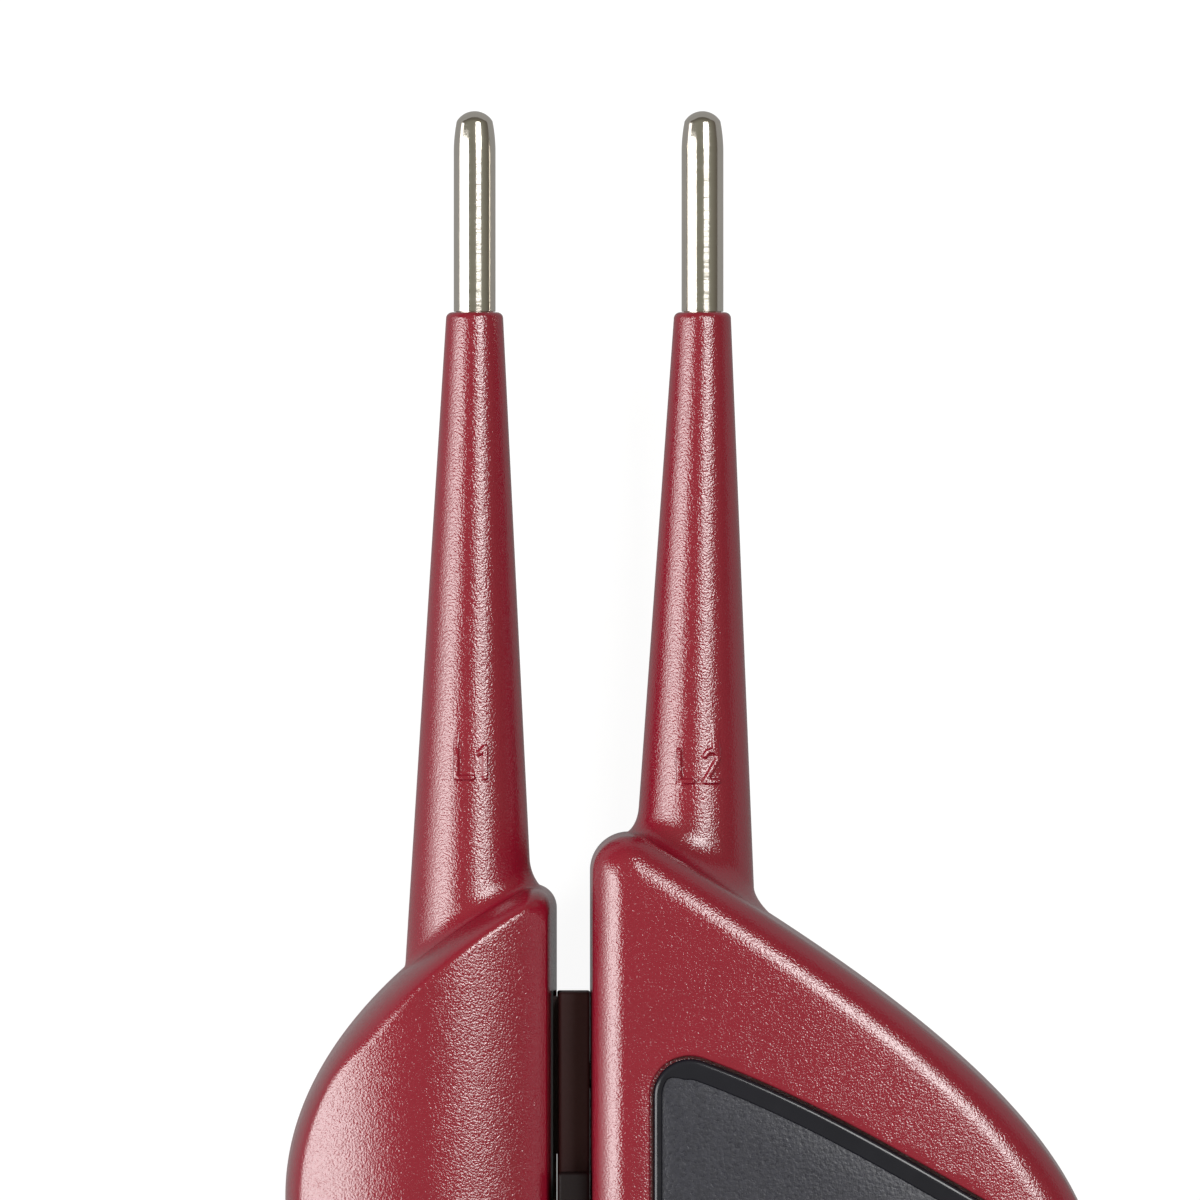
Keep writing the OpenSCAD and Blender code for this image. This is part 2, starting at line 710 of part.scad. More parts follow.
// A round buzzer under the board, with its sound hole
buzzer_r = 6;
buzzer_h = 5.5;
buzzer_hole_r = 1;
buzzer_in = [19, 9];
buzzer_p = [main_w - buzzer_in[0], guard_v(main_h) + buzzer_in[1]];
module buzzer() {
    color("black") place_main() difference() {
        post(buzzer_p, main_board_z - buzzer_h, main_board_z, buzzer_r);
        post(buzzer_p, main_board_z - buzzer_h - spare, main_board_z - buzzer_h + spare, buzzer_hole_r);
    }
}

// Resistors lie under the board on two short feet
resistor_r = 1.2;
resistor_l = 6;
resistor_foot = [0.8, 1.4, 1.9];
resistor_pitch = [5, 4.5];
main_resistor_p = [10, 20];
second_resistor_p = [3.5, 34];
module resistor(p, z) {
    drop = resistor_r + 0.4;
    rod_y(p[0], z - drop, p[1], p[1] + resistor_l, resistor_r, resistor_r);
    for (v = [p[1] - resistor_foot[1], p[1] + resistor_l])
        block([p[0] - resistor_foot[0] / 2, v, z - resistor_foot[2]],
            [p[0] + resistor_foot[0] / 2, v + resistor_foot[1], z]);
}
module main_resistors() {
    v = guard_v(main_h) - main_resistor_p[1];
    color("tan") place_main() for (i = [0:3])
        resistor([main_resistor_p[0] + resistor_pitch[0] * i, v], main_board_z);
}

module main_contact_pin() {
    color("silver") place_main() contact_pin(main_h, main_pin_u);
}
module main_pin_lead() {
    color("goldenrod") place_main() pin_lead(main_h, main_pin_u, main_board_z);
}

// A round button cap with a retaining flange and a dished top
module button_cap(p, top, board_top) {
    low = board_top + switch_h + button_travel;
    face = top + button_proud;
    difference() {
        union() {
            post(p, low, face - button_edge, button_r);
            post(p, low, face, button_r - button_edge);
            post(p, low + flange_lift, low + flange_lift + flange_t, button_r + flange_extra);
        }
        translate([p[0], p[1], face - button_dish + button_dish_r]) sphere(r = button_dish_r, $fn = 96);
    }
}
module switch_plunger(p, board_top) {
    post(p, board_top + switch_h - plunger_in, board_top + switch_h + button_travel, plunger_r);
}
module switch_body(p, board_top) {
    h = [switch_half_w, switch_half_w];
    difference() {
        block([p[0] - h[0], p[1] - h[1], board_top], [p[0] + h[0], p[1] + h[1], board_top + switch_h]);
        post(p, board_top + switch_floor, board_top + switch_h + spare, plunger_r + plunger_gap);
    }
}
module main_button() {
    color("#26262a") place_main() button_cap(main_button_p, main_t, main_board_z + board_t);
}
module main_switch_plunger() {
    color("ivory") place_main() switch_plunger(main_button_p, main_board_z + board_t);
}
module main_switch_body() {
    color("dimgray") place_main() switch_body(main_button_p, main_board_z + board_t);
}

// Two cells side by side, head to tail
module battery_cells() {
    color("slategray") place_main() for (i = [0:1]) {
        r = cell_d / 2;
        rod_y(cell_u[i], cell_z, cell_v, cell_v + cell_l, r, r);
        tip = i == 0 ? cell_v + cell_l : cell_v - cell_tip_h;
        rod_y(cell_u[i], cell_z, tip, tip + cell_tip_h, cell_tip_r, cell_tip_r);
    }
}
module contact_plate(u, v) {
    block([u - contact_half_w, v, wall + 1], [u + contact_half_w, v + contact_t, bay_top - 1]);
}
module battery_contacts() {
    low = bay_v + fit / 2;
    high = bay_v + bay_l - fit / 2 - contact_t;
    color("silver") place_main() {
        for (u = cell_u) {
            contact_plate(u, low);
            contact_plate(u, high);
        }
        rod_y(cell_u[0], cell_z, low + contact_t, cell_v, spring_r, spring_tip_r);
        rod_y(cell_u[1], cell_z, cell_v + cell_l, high, spring_tip_r, spring_r);
    }
}

// Cover with two ribs inside, a countersunk screw and a patch of finger grooves
cover_rib = [1.5, 0.8];
cover_rib_in = 2;
cover_rib_end = 4;
groove_count = 5;
groove_pitch = 2;
groove_size = [12, 0.8, 0.5];
module battery_cover() {
    sink = cover_t - 0.4;
    groove_v = bay_v + cover_rib_end;
    color("firebrick") place_main() difference() {
        union() {
            block([bay_u - cover_rim, bay_v - cover_rim, 0],
                [bay_u + bay_w + cover_rim, bay_v - cover_rim + cover_l, cover_t]);
            for (u = [bay_u + cover_rib_in, bay_u + bay_w - cover_rib_in])
                block([u - cover_rib[0] / 2, bay_v + cover_rib_end, cover_t - eps],
                    [u + cover_rib[0] / 2, bay_v + bay_l - cover_rib_end, cover_t + cover_rib[1]]);
        }
        post(cover_screw_p, -spare, cover_t + spare, screw_r + fit);
        translate([cover_screw_p[0], cover_screw_p[1], -eps])
            cylinder(h = sink, r1 = head_r + fit, r2 = screw_r + fit);
        for (i = [0:groove_count - 1])
            translate([cover_screw_p[0] - groove_size[0] / 2, groove_v + i * groove_pitch, -spare])
                cube([groove_size[0], groove_size[1], groove_size[2] + spare]);
    }
}
module battery_cover_screw() {
    z0 = thread_fit;
    color("silver") place_main() difference() {
        union() {
            translate([cover_screw_p[0], cover_screw_p[1], z0])
                cylinder(h = cover_t - 0.5, r1 = head_r, r2 = screw_r);
            post(cover_screw_p, cover_t / 2, seam_z + 1, screw_r);
        }
        cross_recess(cover_screw_p, 0);
    }
}

// Cross recess in a screw head that faces down
module cross_recess(p, z) {
    for (h = [[recess_half_l, recess_half_w], [recess_half_w, recess_half_l]])
        block([p[0] - h[0], p[1] - h[1], z - spare], [p[0] + h[0], p[1] + h[1], z + recess_depth]);
}
module housing_screw(p) {
    difference() {
        union() {
            post(p, head_seat - head_h, head_seat, head_r);
            post(p, head_seat - head_h / 4, screw_end, screw_r);
        }
        cross_recess(p, head_seat - head_h);
    }
}
module main_housing_screws() {
    color("silver") place_main() for (p = main_screws) housing_screw(p);
}

// Cable inlet: a grommet with two round flanges and an eight-sided neck that grips the foot wall
module cable_gland(h) {
    t = gland_flange_t;
    inside = -wall - draft - gland_fit;
    u = gland_u(h);
    v = foot_v(h);
    difference() {
        union() {
            octagon_rod(u, gland_z, v - eps, v - inside + eps, gland_r);
            translate([u, v, gland_z]) rotate([90, 0, 0]) rotate_extrude() polygon(concat(
                [[0, 0], [gland_flange_r, 0]],
                arc([gland_flange_r - gland_round, t - gland_round], gland_round, 0, 90, 4),
                [[0, t]]));
            translate([u, v, gland_z]) rotate([90, 0, 0]) rotate_extrude() polygon([
                [0, inside - t], [gland_flange_r - gland_edge, inside - t],
                [gland_flange_r, inside - t + gland_edge], [gland_flange_r, inside], [0, inside]]);
        }
        rod_y(u, gland_z, v - t - spare, v - inside + t + spare, gland_bore_d / 2, gland_bore_d / 2);
    }
}
module main_cable_gland() {
    color("#222226") place_main() cable_gland(main_h);
}

// Docking rail on the main handle: a base strip with a stepped edge, a high block and two hooks
module docking_rail() {
    color("#2b1f1f") place_main() difference() {
        union() {
            block([-rail_t, rail_foot_v, dock_z - rail_half],
                [0, rail_top, dock_z + rail_half - rail_edge[1]]);
            block([-rail_t + rail_edge[0], rail_foot_v, dock_z - rail_half + rail_edge[1]],
                [0, rail_top, dock_z + rail_half]);
            block([-rail_t, rail_foot_v, dock_z], [0, block_top, block_z]);
            for (v = hook_v) hook(v);
        }
        for (v = hook_v)
            rod_x(-hook_reach + rail_screw_tip - rail_play, spare, v + hook_l / 2, dock_z,
                rail_screw_r + thread_fit);
    }
}

// A hook is a web with a wider head
module hook(v) {
    block([-hook_reach + eps, v, dock_z - hook_web_w / 2],
        [-rail_t + eps, v + hook_l, dock_z + hook_web_w / 2]);
    block([-hook_reach, v, dock_z - hook_head_w / 2],
        [-hook_reach + hook_head_t, v + hook_l, dock_z + hook_head_w / 2]);
}

// Screws that hold the rail from inside the main handle
module rail_screws() {
    seat = wall + draft + channel_fit;
    color("silver") place_main() for (v = hook_v) {
        rod_x(seat, seat + rail_screw_head_h, v + hook_l / 2, dock_z, rail_screw_head_r);
        rod_x(-hook_reach + rail_screw_tip, seat + rail_screw_head_h / 2, v + hook_l / 2, dock_z,
            rail_screw_r);
    }
}

// Cut-out of the second handle's docking wall, filled by the channel
module channel_body(grow) {
    block([grow > 0 ? -spare : channel_face, channel_foot - grow, dock_z - channel_half - grow],
        [channel_u + grow, channel_top + grow, dock_z + channel_half + grow]);
}

module second_front_shell() {
    base = second_t - second_crown_h;
    round_r = second_w / 2 - 1;
    color("firebrick") place_second() difference() {
        union() {
            tray(second_h, seam_z, base, second_t, second_edge_r, round_r, second_bow, second_draft,
                draft, front_steps, second_fill, wall);
            neck(second_h, second_pin_u, -second_neck_lean);
            intersection() {
                tray_core(second_h, seam_z, base, second_t, second_edge_r, round_r, second_bow,
                    second_draft, draft, front_steps, second_fill, wall / 3);
                union() {
                    for (p = second_screws) post(p, seam_z, second_t, boss_r);
                    for (p = second_posts) post(p, second_board_z + board_t, second_t, stud_r);
                }
            }
        }
        pin_bore(second_h, second_pin_u);
        for (p = second_screws) post(p, seam_z - spare, screw_end + spare, pilot_r);
        for (p = second_posts) post(p, second_board_z, second_t - wall - 2, stud_pilot_r);
        post(second_button_p, second_board_z + board_t, second_t + spare, button_r + fit);
        gland_hole(second_h);
        channel_body(channel_fit);
    }
}

module second_rear_shell() {
    color("firebrick") place_second() difference() {
        union() {
            tray(second_h, seam_z, rear_r, 0, rear_r, rear_r, 0, draft, draft, rear_steps, 0, wall);
            for (p = second_screws) post(p, wall - root, seam_z, boss_r);
        }
        for (p = second_screws) screw_way(p);
    }
}

// Channel with two narrow stretches that hold the hooks and two wide mouths that let them out
module docking_channel() {
    mouth = hook_web_w / 2 + loose;
    pocket = hook_head_w / 2 + loose;
    lip = channel_face + lip_t;
    low = hook_v[1] - dock_travel - fit;
    color("#26262a") place_second() difference() {
        channel_body(0);
        block([-far, low, dock_z - mouth], [lip + eps, rail_top - fit, dock_z + mouth]);
        block([lip, low, dock_z - pocket], [lip + pocket_t, rail_top - fit, dock_z + pocket]);
        for (v = hook_v)
            block([-far, v - dock_travel - fit, dock_z - pocket],
                [lip + eps, v - dock_travel + hook_l + fit, dock_z + pocket]);
    }
}

module second_contact_pin() {
    color("silver") place_second() contact_pin(second_h, second_pin_u);
}
module second_pin_lead() {
    color("goldenrod") place_second() pin_lead(second_h, second_pin_u, second_board_z);
}
module second_circuit_board() {
    color("darkgreen") place_second() board(second_h, second_board_z, second_posts, second_screws,
        second_board_foot, second_board_head, channel_u + board_clear);
}
module second_board_screws() {
    color("silver") place_second() for (p = second_posts) board_screw(p, second_board_z);
}
module second_resistors() {
    start = channel_u + second_resistor_p[0];
    v = guard_v(second_h) - second_resistor_p[1];
    color("tan") place_second() for (i = [0:1])
        resistor([start + resistor_pitch[1] * i, v], second_board_z);
}
module second_button() {
    color("#26262a") place_second() button_cap(second_button_p, second_t, second_board_z + board_t);
}
module second_switch_plunger() {
    color("ivory") place_second() switch_plunger(second_button_p, second_board_z + board_t);
}
module second_switch_body() {
    color("dimgray") place_second() switch_body(second_button_p, second_board_z + board_t);
}
module second_housing_screws() {
    color("silver") place_second() for (p = second_screws) housing_screw(p);
}
module second_cable_gland() {
    color("#222226") place_second() cable_gland(second_h);
}

main_front_shell();
main_rear_shell();
display_panel();
indicator_lamps();
indicator_leds();
main_circuit_board();
board_screws();
buzzer();
main_resistors();
main_contact_pin();
main_pin_lead();
main_button();
main_switch_plunger();
main_switch_body();
battery_cells();
battery_contacts();
battery_cover();
battery_cover_screw();
main_housing_screws();
main_cable_gland();
docking_rail();
rail_screws();
second_front_shell();
second_rear_shell();
docking_channel();
second_contact_pin();
second_pin_lead();
second_circuit_board();
second_board_screws();
second_resistors();
second_button();
second_switch_plunger();
second_switch_body();
second_housing_screws();
second_cable_gland();
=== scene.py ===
"""Looks of a two-pole voltage tester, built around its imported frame.

The tester lies on its back: X runs across the two handles, Y towards the contact tips, Z is up.
Every handle is drawn in its own plane first, with u from the docking wall outwards and v along
the handle, in millimetres, and is then placed in the frame.
"""

import logging
import math
from collections.abc import Iterator, Sequence
from contextlib import contextmanager
from dataclasses import dataclass, replace
from enum import Enum
from functools import cached_property

import bmesh
import bpy
import numpy as np
from mathutils import Matrix, Vector


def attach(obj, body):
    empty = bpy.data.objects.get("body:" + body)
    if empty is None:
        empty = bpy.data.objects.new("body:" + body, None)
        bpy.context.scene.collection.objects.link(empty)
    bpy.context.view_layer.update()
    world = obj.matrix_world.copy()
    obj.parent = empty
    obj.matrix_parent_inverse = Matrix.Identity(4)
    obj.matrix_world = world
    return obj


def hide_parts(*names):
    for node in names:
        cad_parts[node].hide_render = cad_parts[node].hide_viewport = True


LOG = logging.getLogger("tester")
MM = 0.001
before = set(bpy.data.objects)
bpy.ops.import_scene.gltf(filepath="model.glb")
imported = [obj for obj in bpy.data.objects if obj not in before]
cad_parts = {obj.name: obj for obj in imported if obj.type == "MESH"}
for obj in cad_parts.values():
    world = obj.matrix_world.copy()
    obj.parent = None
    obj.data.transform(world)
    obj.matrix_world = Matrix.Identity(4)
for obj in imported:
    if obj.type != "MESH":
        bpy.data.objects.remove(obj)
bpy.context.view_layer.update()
PIN_Z = 15.0  # height of the pins, of the glands and of the docking hooks, in millimetres

Array = np.ndarray
Point = Sequence[float]
Mesh, Material = bpy.types.Mesh, bpy.types.Material


class Body(Enum):
    """Moving bodies of the frame."""

    MAIN = "main_handle"
    SECOND = "second_handle"
    MAIN_BUTTON = "main_button_body"
    SECOND_BUTTON = "second_button_body"


class Ends(Enum):
    """How a stack of rings is closed."""

    POLES = "a point in the middle of each end ring"
    MERGED = "nothing, because the end rings already fold onto a line"
    RING = "the last ring joins the first"


class Cut(Enum):
    """Ways to combine two closed meshes."""

    OFF = "DIFFERENCE"
    JOIN = "UNION"
    SHARED = "INTERSECT"


class Axis(Enum):
    """Axis that a turned piece is turned about, as an order of across, across and along."""

    X = (2, 0, 1)
    Y = (0, 2, 1)
    Z = (0, 1, 2)


# ---- Shapes -------------------------------------------------------------------------------------


@dataclass
class Skin:
    """Closed surface: points in millimetres, the faces between them and their materials."""

    points: Array
    faces: Array
    tints: Array | None = None


def smooth(low: float, high: float, x: Array) -> Array:
    """Smooth step: 3t^2 - 2t^3, where t is the clipped share of x between low and high."""
    t = np.clip((x - low) / (high - low), 0.0, 1.0)
    return t * t * (3.0 - 2.0 * t)


def mix(a: Array | float, b: Array | float, t: Array | float) -> Array | float:
    """Value at share t of the way from a to b."""
    return a + (b - a) * t


def cubic(ctrl: Sequence[Point], t: Array) -> Array:
    """Cubic curve at the shares t: four control points weighted by Bernstein's polynomials."""
    s = 1.0 - t
    return np.stack([s**3, 3 * s * s * t, 3 * s * t * t, t**3], 1) @ np.asarray(ctrl, float)


def arc(centre: Point, r: float, first: float, last: float, count: int) -> Array:
    """Points on a circle, from the first angle to the last in degrees, in equal steps."""
    a = np.radians(np.linspace(first, last, count))
    return np.asarray(centre, float) + r * np.stack([np.cos(a), np.sin(a)], axis=1)


def inward(loop: Array) -> Array:
    """Unit normals of a closed loop that runs counter-clockwise: the turned central difference."""
    t = np.roll(loop, -1, axis=0) - np.roll(loop, 1, axis=0)
    t /= np.linalg.norm(t, axis=1, keepdims=True)
    return np.stack([-t[:, 1], t[:, 0]], axis=1)


def loft(rings: Array, ends: Ends = Ends.POLES) -> Skin:
    """Closed skin over a grid: row j of the grid is ring j, and every ring closes on itself.

    Args:
        rings: Array of rows, ring points and coordinates.
        ends: How the first and the last ring are closed.

    Returns:
        The skin. Points that fall together are merged when the mesh is made.
    """
    if ends is Ends.POLES:
        poles = np.broadcast_to(rings[[0, -1]].mean(axis=1, keepdims=True), rings[[0, -1]].shape)
        rings = np.concatenate([poles[:1], rings, poles[1:]])
    rows, count = rings.shape[:2]
    index = np.arange(rows * count).reshape(rows, count)
    if ends is Ends.RING:
        index = np.concatenate([index, index[:1]])
    side = np.roll(index, -1, axis=1)
    quads = np.stack([index[:-1], side[:-1], side[1:], index[1:]], axis=-1).reshape(-1, 4)
    return Skin(rings.reshape(-1, 3), quads)


def turned(profile: Sequence[Point], centre: Point, axis: Axis = Axis.Z,
           count: int = 64, ends: Ends = Ends.POLES) -> Skin:
    """Turned skin: each profile point (radius, distance along) is carried round the axis.

    Args:
        profile: Radius and distance along the axis of each ring.
        centre: Point on the axis where the distance is zero.
        axis: Direction of the axis.
        count: Points round the axis.
        ends: How the skin is closed.

    Returns:
        The turned skin.
    """
    p = np.asarray(profile, dtype=float)
    a = np.linspace(0.0, 2.0 * np.pi, count, endpoint=False)
    rings = np.empty((len(p), count, 3))
    rings[..., axis.value[0]] = p[:, :1] * np.cos(a)
    rings[..., axis.value[1]] = p[:, :1] * np.sin(a)
    rings[..., axis.value[2]] = p[:, 1:]
    return loft(rings + np.asarray(centre, dtype=float), ends)


def rod(r: float, low: float, high: float, centre: Point, axis: Axis = Axis.Z,
        count: int = 32) -> Skin:
    """Plain rod of the radius r, from low to high along an axis through the centre."""
    return turned([(r, low), (r, high)], centre, axis, count)


def rounded_bar(low: Point, high: Point, r: float, steps: int = 5) -> Skin:
    """Box with round edges: a small sphere pulled apart at its quarters by the box's half sizes.

    Args:
        low: Lowest corner.
        high: Highest corner.
        r: Radius of every edge.
        steps: Points along a quarter turn.

    Returns:
        The skin of the bar.
    """
    low, high = np.asarray(low, dtype=float), np.asarray(high, dtype=float)
    half = (high - low) / 2.0 - r
    turn = np.radians(np.linspace(0.0, 90.0, steps))
    a = np.concatenate([turn + q * np.pi / 2.0 for q in range(4)])
    b = np.concatenate([turn, turn + np.pi / 2.0])
    side_x = np.repeat([1.0, -1.0, -1.0, 1.0], steps)
    side_y = np.repeat([1.0, 1.0, -1.0, -1.0], steps)
    side_z = np.repeat([1.0, -1.0], steps)
    rings = np.empty((len(b), len(a), 3))
    rings[..., 0] = r * np.sin(b)[:, None] * np.cos(a) + side_x * half[0]
    rings[..., 1] = r * np.sin(b)[:, None] * np.sin(a) + side_y * half[1]
    rings[..., 2] = (r * np.cos(b) + side_z * half[2])[:, None]
    return loft(rings + (low + high) / 2.0)


def rounded_rectangle(low: Point, high: Point, r: float) -> Array:
    """Counter-clockwise rectangle with four quarter circles at its corners."""
    corners = [(high[0] - r, low[1] + r), (high[0] - r, high[1] - r),
               (low[0] + r, high[1] - r), (low[0] + r, low[1] + r)]
    return np.concatenate([arc(c, r, 90 * i - 90, 90 * i, 8) for i, c in enumerate(corners)])


def stacked(loop: Array, levels: Sequence[Point]) -> Skin:
    """Skin over copies of a counter-clockwise loop, each moved out and lifted by its level."""
    n = inward(loop)
    return loft(np.stack([np.column_stack([loop - n * d, np.full(len(loop), z)])
                          for d, z in levels]))


# ---- Meshes -------------------------------------------------------------------------------------


@contextmanager
def edited(mesh: Mesh) -> Iterator[bmesh.types.BMesh]:
    """Opens a mesh for editing and writes it back at the end.

    Args:
        mesh: Mesh to edit.

    Yields:
        Its editable form.
    """
    bm = bmesh.new()
    bm.from_mesh(mesh)
    yield bm
    bm.to_mesh(mesh)
    bm.free()


def read(items: bpy.types.bpy_prop_collection, name: str, kind: type = float) -> Array:
    """Values of a three-part property, one row for each item."""
    out = np.empty(len(items) * 3, kind)
    items.foreach_get(name, out)
    return out.reshape(-1, 3)


def added(name: str, data: bpy.types.ID) -> bpy.types.Object:
    """New object of the scene with this data."""
    made = bpy.data.objects.new(name, data)
    bpy.context.scene.collection.objects.link(made)
    return made


def evaluated(shown: bpy.types.Object) -> Mesh:
    """New mesh of an object as it is shown, with its modifiers carried out."""
    graph = bpy.context.evaluated_depsgraph_get()
    return bpy.data.meshes.new_from_object(shown.evaluated_get(graph))


def mesh_from(name: str, skins: Sequence[Skin]) -> Mesh:
    """Mesh in metres from skins in millimetres, doubles merged and all faces turned outwards.

    Args:
        name: Name of the mesh.
        skins: Closed skins that don't touch each other.

    Returns:
        The finished mesh.
    """
    starts = np.cumsum([0] + [len(s.points) for s in skins[:-1]])
    points = np.concatenate([s.points for s in skins]) * MM
    faces = [face for s, k in zip(skins, starts) for face in (s.faces + k).tolist()]
    mesh = bpy.data.meshes.new(name)
    mesh.from_pydata(points.tolist(), [], faces)
    if any(s.tints is not None for s in skins):
        tints = [np.zeros(len(s.faces), int) if s.tints is None else s.tints for s in skins]
        mesh.polygons.foreach_set("material_index", np.concatenate(tints).astype(np.int32))
    with edited(mesh) as bm:
        bmesh.ops.remove_doubles(bm, verts=bm.verts, dist=0.5e-6)
        bmesh.ops.dissolve_degenerate(bm, edges=bm.edges, dist=1e-7)
        bmesh.ops.recalc_face_normals(bm, faces=bm.faces)
    return mesh


def carved(mesh: Mesh, skins: Sequence[Skin], cut: Cut) -> Mesh:
    """Combines a closed mesh with closed skins that don't touch each other.

    Args:
        mesh: Mesh to work on; it is removed afterwards.
        skins: Skins of the cutter.
        cut: Way to combine them.

    Returns:
        A new mesh.
    """
    body, tool = added("blank", mesh), added("tool", mesh_from("tool", skins))
    step = body.modifiers.new("cut", "BOOLEAN")
    step.operation, step.object, step.solver = cut.value, tool, "MANIFOLD"
    made = evaluated(body)
    made.name = mesh.name
    for o, data in ((body, body.data), (tool, tool.data)):
        bpy.data.objects.remove(o)
        bpy.data.meshes.remove(data)
    return made


def skin_of(mesh: Mesh) -> Skin:
    """Skin of a closed mesh in metres, in triangles; the mesh is removed.

    Args:
        mesh: Mesh to read.

    Returns:
        The skin in millimetres.
    """
    mesh.calc_loop_triangles()
    skin = Skin(read(mesh.vertices, "co") / MM, read(mesh.loop_triangles, "vertices", np.int32))
    bpy.data.meshes.remove(mesh)
    return skin


def piece(name: str, mesh: Mesh, body: Body, finishes: Sequence[Material],
          stands_for: Sequence[str] = (), sharp: float = 35.0) -> bpy.types.Object:
    """Puts a mesh in the scene as one piece of the object.

    Args:
        name: Name of the piece.
        mesh: Its mesh, in place.
        body: Body that it rides on.
        finishes: Its materials; with none, the mesh keeps those that it has.
        stands_for: Nodes of the frame that it replaces.
        sharp: Angle between two faces, in degrees, above which their edge is drawn sharp.

    Returns:
        The new object.
    """
    mesh.name = name
    if finishes:
        mesh.materials.clear()
    for finish in finishes:
        mesh.materials.append(finish)
    mesh.shade_smooth()
    mesh.set_sharp_from_angle(angle=math.radians(sharp))
    made = added(name, mesh)
    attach(made, body.value)
    if stands_for:
        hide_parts(*stands_for)
    LOG.info("%s: %d faces on %s", name, len(mesh.polygons), body.value)
    return made


def node_copy(node: str) -> Mesh:
    """Copy of a frame node's mesh with its loose triangles merged into a closed surface."""
    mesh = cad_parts[node].data.copy()
    with edited(mesh) as bm:
        bmesh.ops.remove_doubles(bm, verts=bm.verts, dist=1e-6)
        bmesh.ops.dissolve_limit(bm, angle_limit=math.radians(1.0), verts=bm.verts, edges=bm.edges)
    return mesh


# ---- Finishes -----------------------------------------------------------------------------------


def linear(code: str) -> tuple[float, float, float, float]:
    """Linear colour of an sRGB hex code: each channel through the inverse of the sRGB curve."""
    c = np.array([int(code[i:i + 2], 16) for i in (1, 3, 5)]) / 255.0
    c = np.where(c <= 0.04045, c / 12.92, ((c + 0.055) / 1.055) ** 2.4)
    return (float(c[0]), float(c[1]), float(c[2]), 1.0)


def empty_tree(owner: bpy.types.ID) -> bpy.types.NodeTree:
    """Node tree of a material or a world, emptied."""
    owner.use_nodes = True
    owner.node_tree.nodes.clear()
    return owner.node_tree


def add_node(tree: bpy.types.NodeTree, kind: str, inputs: dict | None = None,
             **settings: object) -> bpy.types.Node:
    """Adds one node with its settings, values and links.

    Args:
        tree: Tree that the node joins.
        kind: Identifier of the node's type, without the words that all of them start with.
        inputs: Value of each named or numbered input, or the output that feeds it; a node stands
            for its first output.
        settings: Properties of the node.

    Returns:
        The new node.
    """
    node = tree.nodes.new("ShaderNode" + kind)
    for key, value in settings.items():
        setattr(node, key, value)
    for key, value in (inputs or {}).items():
        if isinstance(value, bpy.types.Node):
            value = value.outputs[0]
        if isinstance(value, bpy.types.NodeSocket):
            tree.links.new(value, node.inputs[key])
        else:
            node.inputs[key].default_value = value
    return node


def add_noise(tree: bpy.types.NodeTree, place: bpy.types.Node | bpy.types.NodeSocket,
              size: float, detail: float, roughness: float = 0.5) -> bpy.types.Node:
    """Adds a noise with features of this size in millimetres, for a place in metres."""
    return add_node(tree, "TexNoise", {"Vector": place, "Scale": 1.0 / (size * MM),
                                       "Detail": detail, "Roughness": roughness})


def add_range(tree: bpy.types.NodeTree, value: bpy.types.Node, source: tuple[float, float],
              target: tuple[float, float]) -> bpy.types.Node:
    """Adds a map from the source range of a value to the target range."""
    return add_node(tree, "MapRange", {"Value": value, "From Min": source[0], "From Max": source[1],
                                       "To Min": target[0], "To Max": target[1]})


@dataclass(frozen=True)
class Grain:
    """One layer of surface relief."""

    size: float
    depth: float
    detail: float = 2.0


@dataclass(frozen=True)
class Finish:
    """Surface finish: what the material is, how it was made, and the relief that leaves.

    The colour varies by colour_shift over patches of patch_size, the roughness by rough_shift over
    the first grain, and the grains are added up in one bump.
    """

    name: str
    colour: str
    roughness: float
    grains: tuple[Grain, ...]
    colour_shift: float = 0.06
    patch_size: float = 7.0
    rough_shift: float = 0.06
    metallic: float = 0.0
    ior: float = 1.5
    specular: float = 0.5
    coat: float = 0.0
    coat_roughness: float = 0.1
    transmission: float = 0.0
    stretch: tuple[float, float, float] = (1.0, 1.0, 1.0)

    def build(self) -> Material:
        """Makes the material: grains into one bump, patches into colour, first grain into gloss.

        Returns:
            The new material.
        """
        made = bpy.data.materials.new(self.name)
        tree = empty_tree(made)
        place = add_node(tree, "Mapping", {
            "Vector": add_node(tree, "TexCoord").outputs["Object"], "Scale": self.stretch})
        layers = [add_noise(tree, place, g.size, g.detail, 0.6) for g in self.grains]
        relief = {}
        for grain, height in zip(self.grains, layers):
            relief = {"Normal": add_node(tree, "Bump", {
                "Height": height, "Strength": 1.0, "Distance": grain.depth * MM} | relief)}
        usual = (0.3, 0.7)
        shade = add_range(tree, add_noise(tree, place, self.patch_size, 3.0), usual,
                          (1.0 - self.colour_shift, 1.0 + self.colour_shift))
        colour = add_node(tree, "VectorMath", {0: linear(self.colour)[:3], 1: shade},
                          operation="MULTIPLY")
        gloss = add_range(tree, layers[0], usual, (self.roughness - self.rough_shift,
                                                   self.roughness + self.rough_shift))
        shader = add_node(tree, "BsdfPrincipled", {
            "Base Color": colour, "Roughness": gloss, "Metallic": self.metallic, "IOR": self.ior,
            "Specular IOR Level": self.specular, "Coat Weight": self.coat,
            "Coat Roughness": self.coat_roughness, "Transmission Weight": self.transmission}
            | relief)
        add_node(tree, "OutputMaterial", {"Surface": shader})
        return made


# Spark-eroded mould on glass-filled polyamide: fine pits break every highlight into glints. The
# real pits are about 0.05 mm wide; they are drawn 0.2 mm wide, so that the render can show them.
RED_HOUSING = Finish("polyamide_spark_eroded_red", "#880e26", 0.16,
                     (Grain(0.2, 0.047, 1.0), Grain(0.75, 0.006)), colour_shift=0.03,
                     rough_shift=0.05, ior=1.54, specular=1.0)
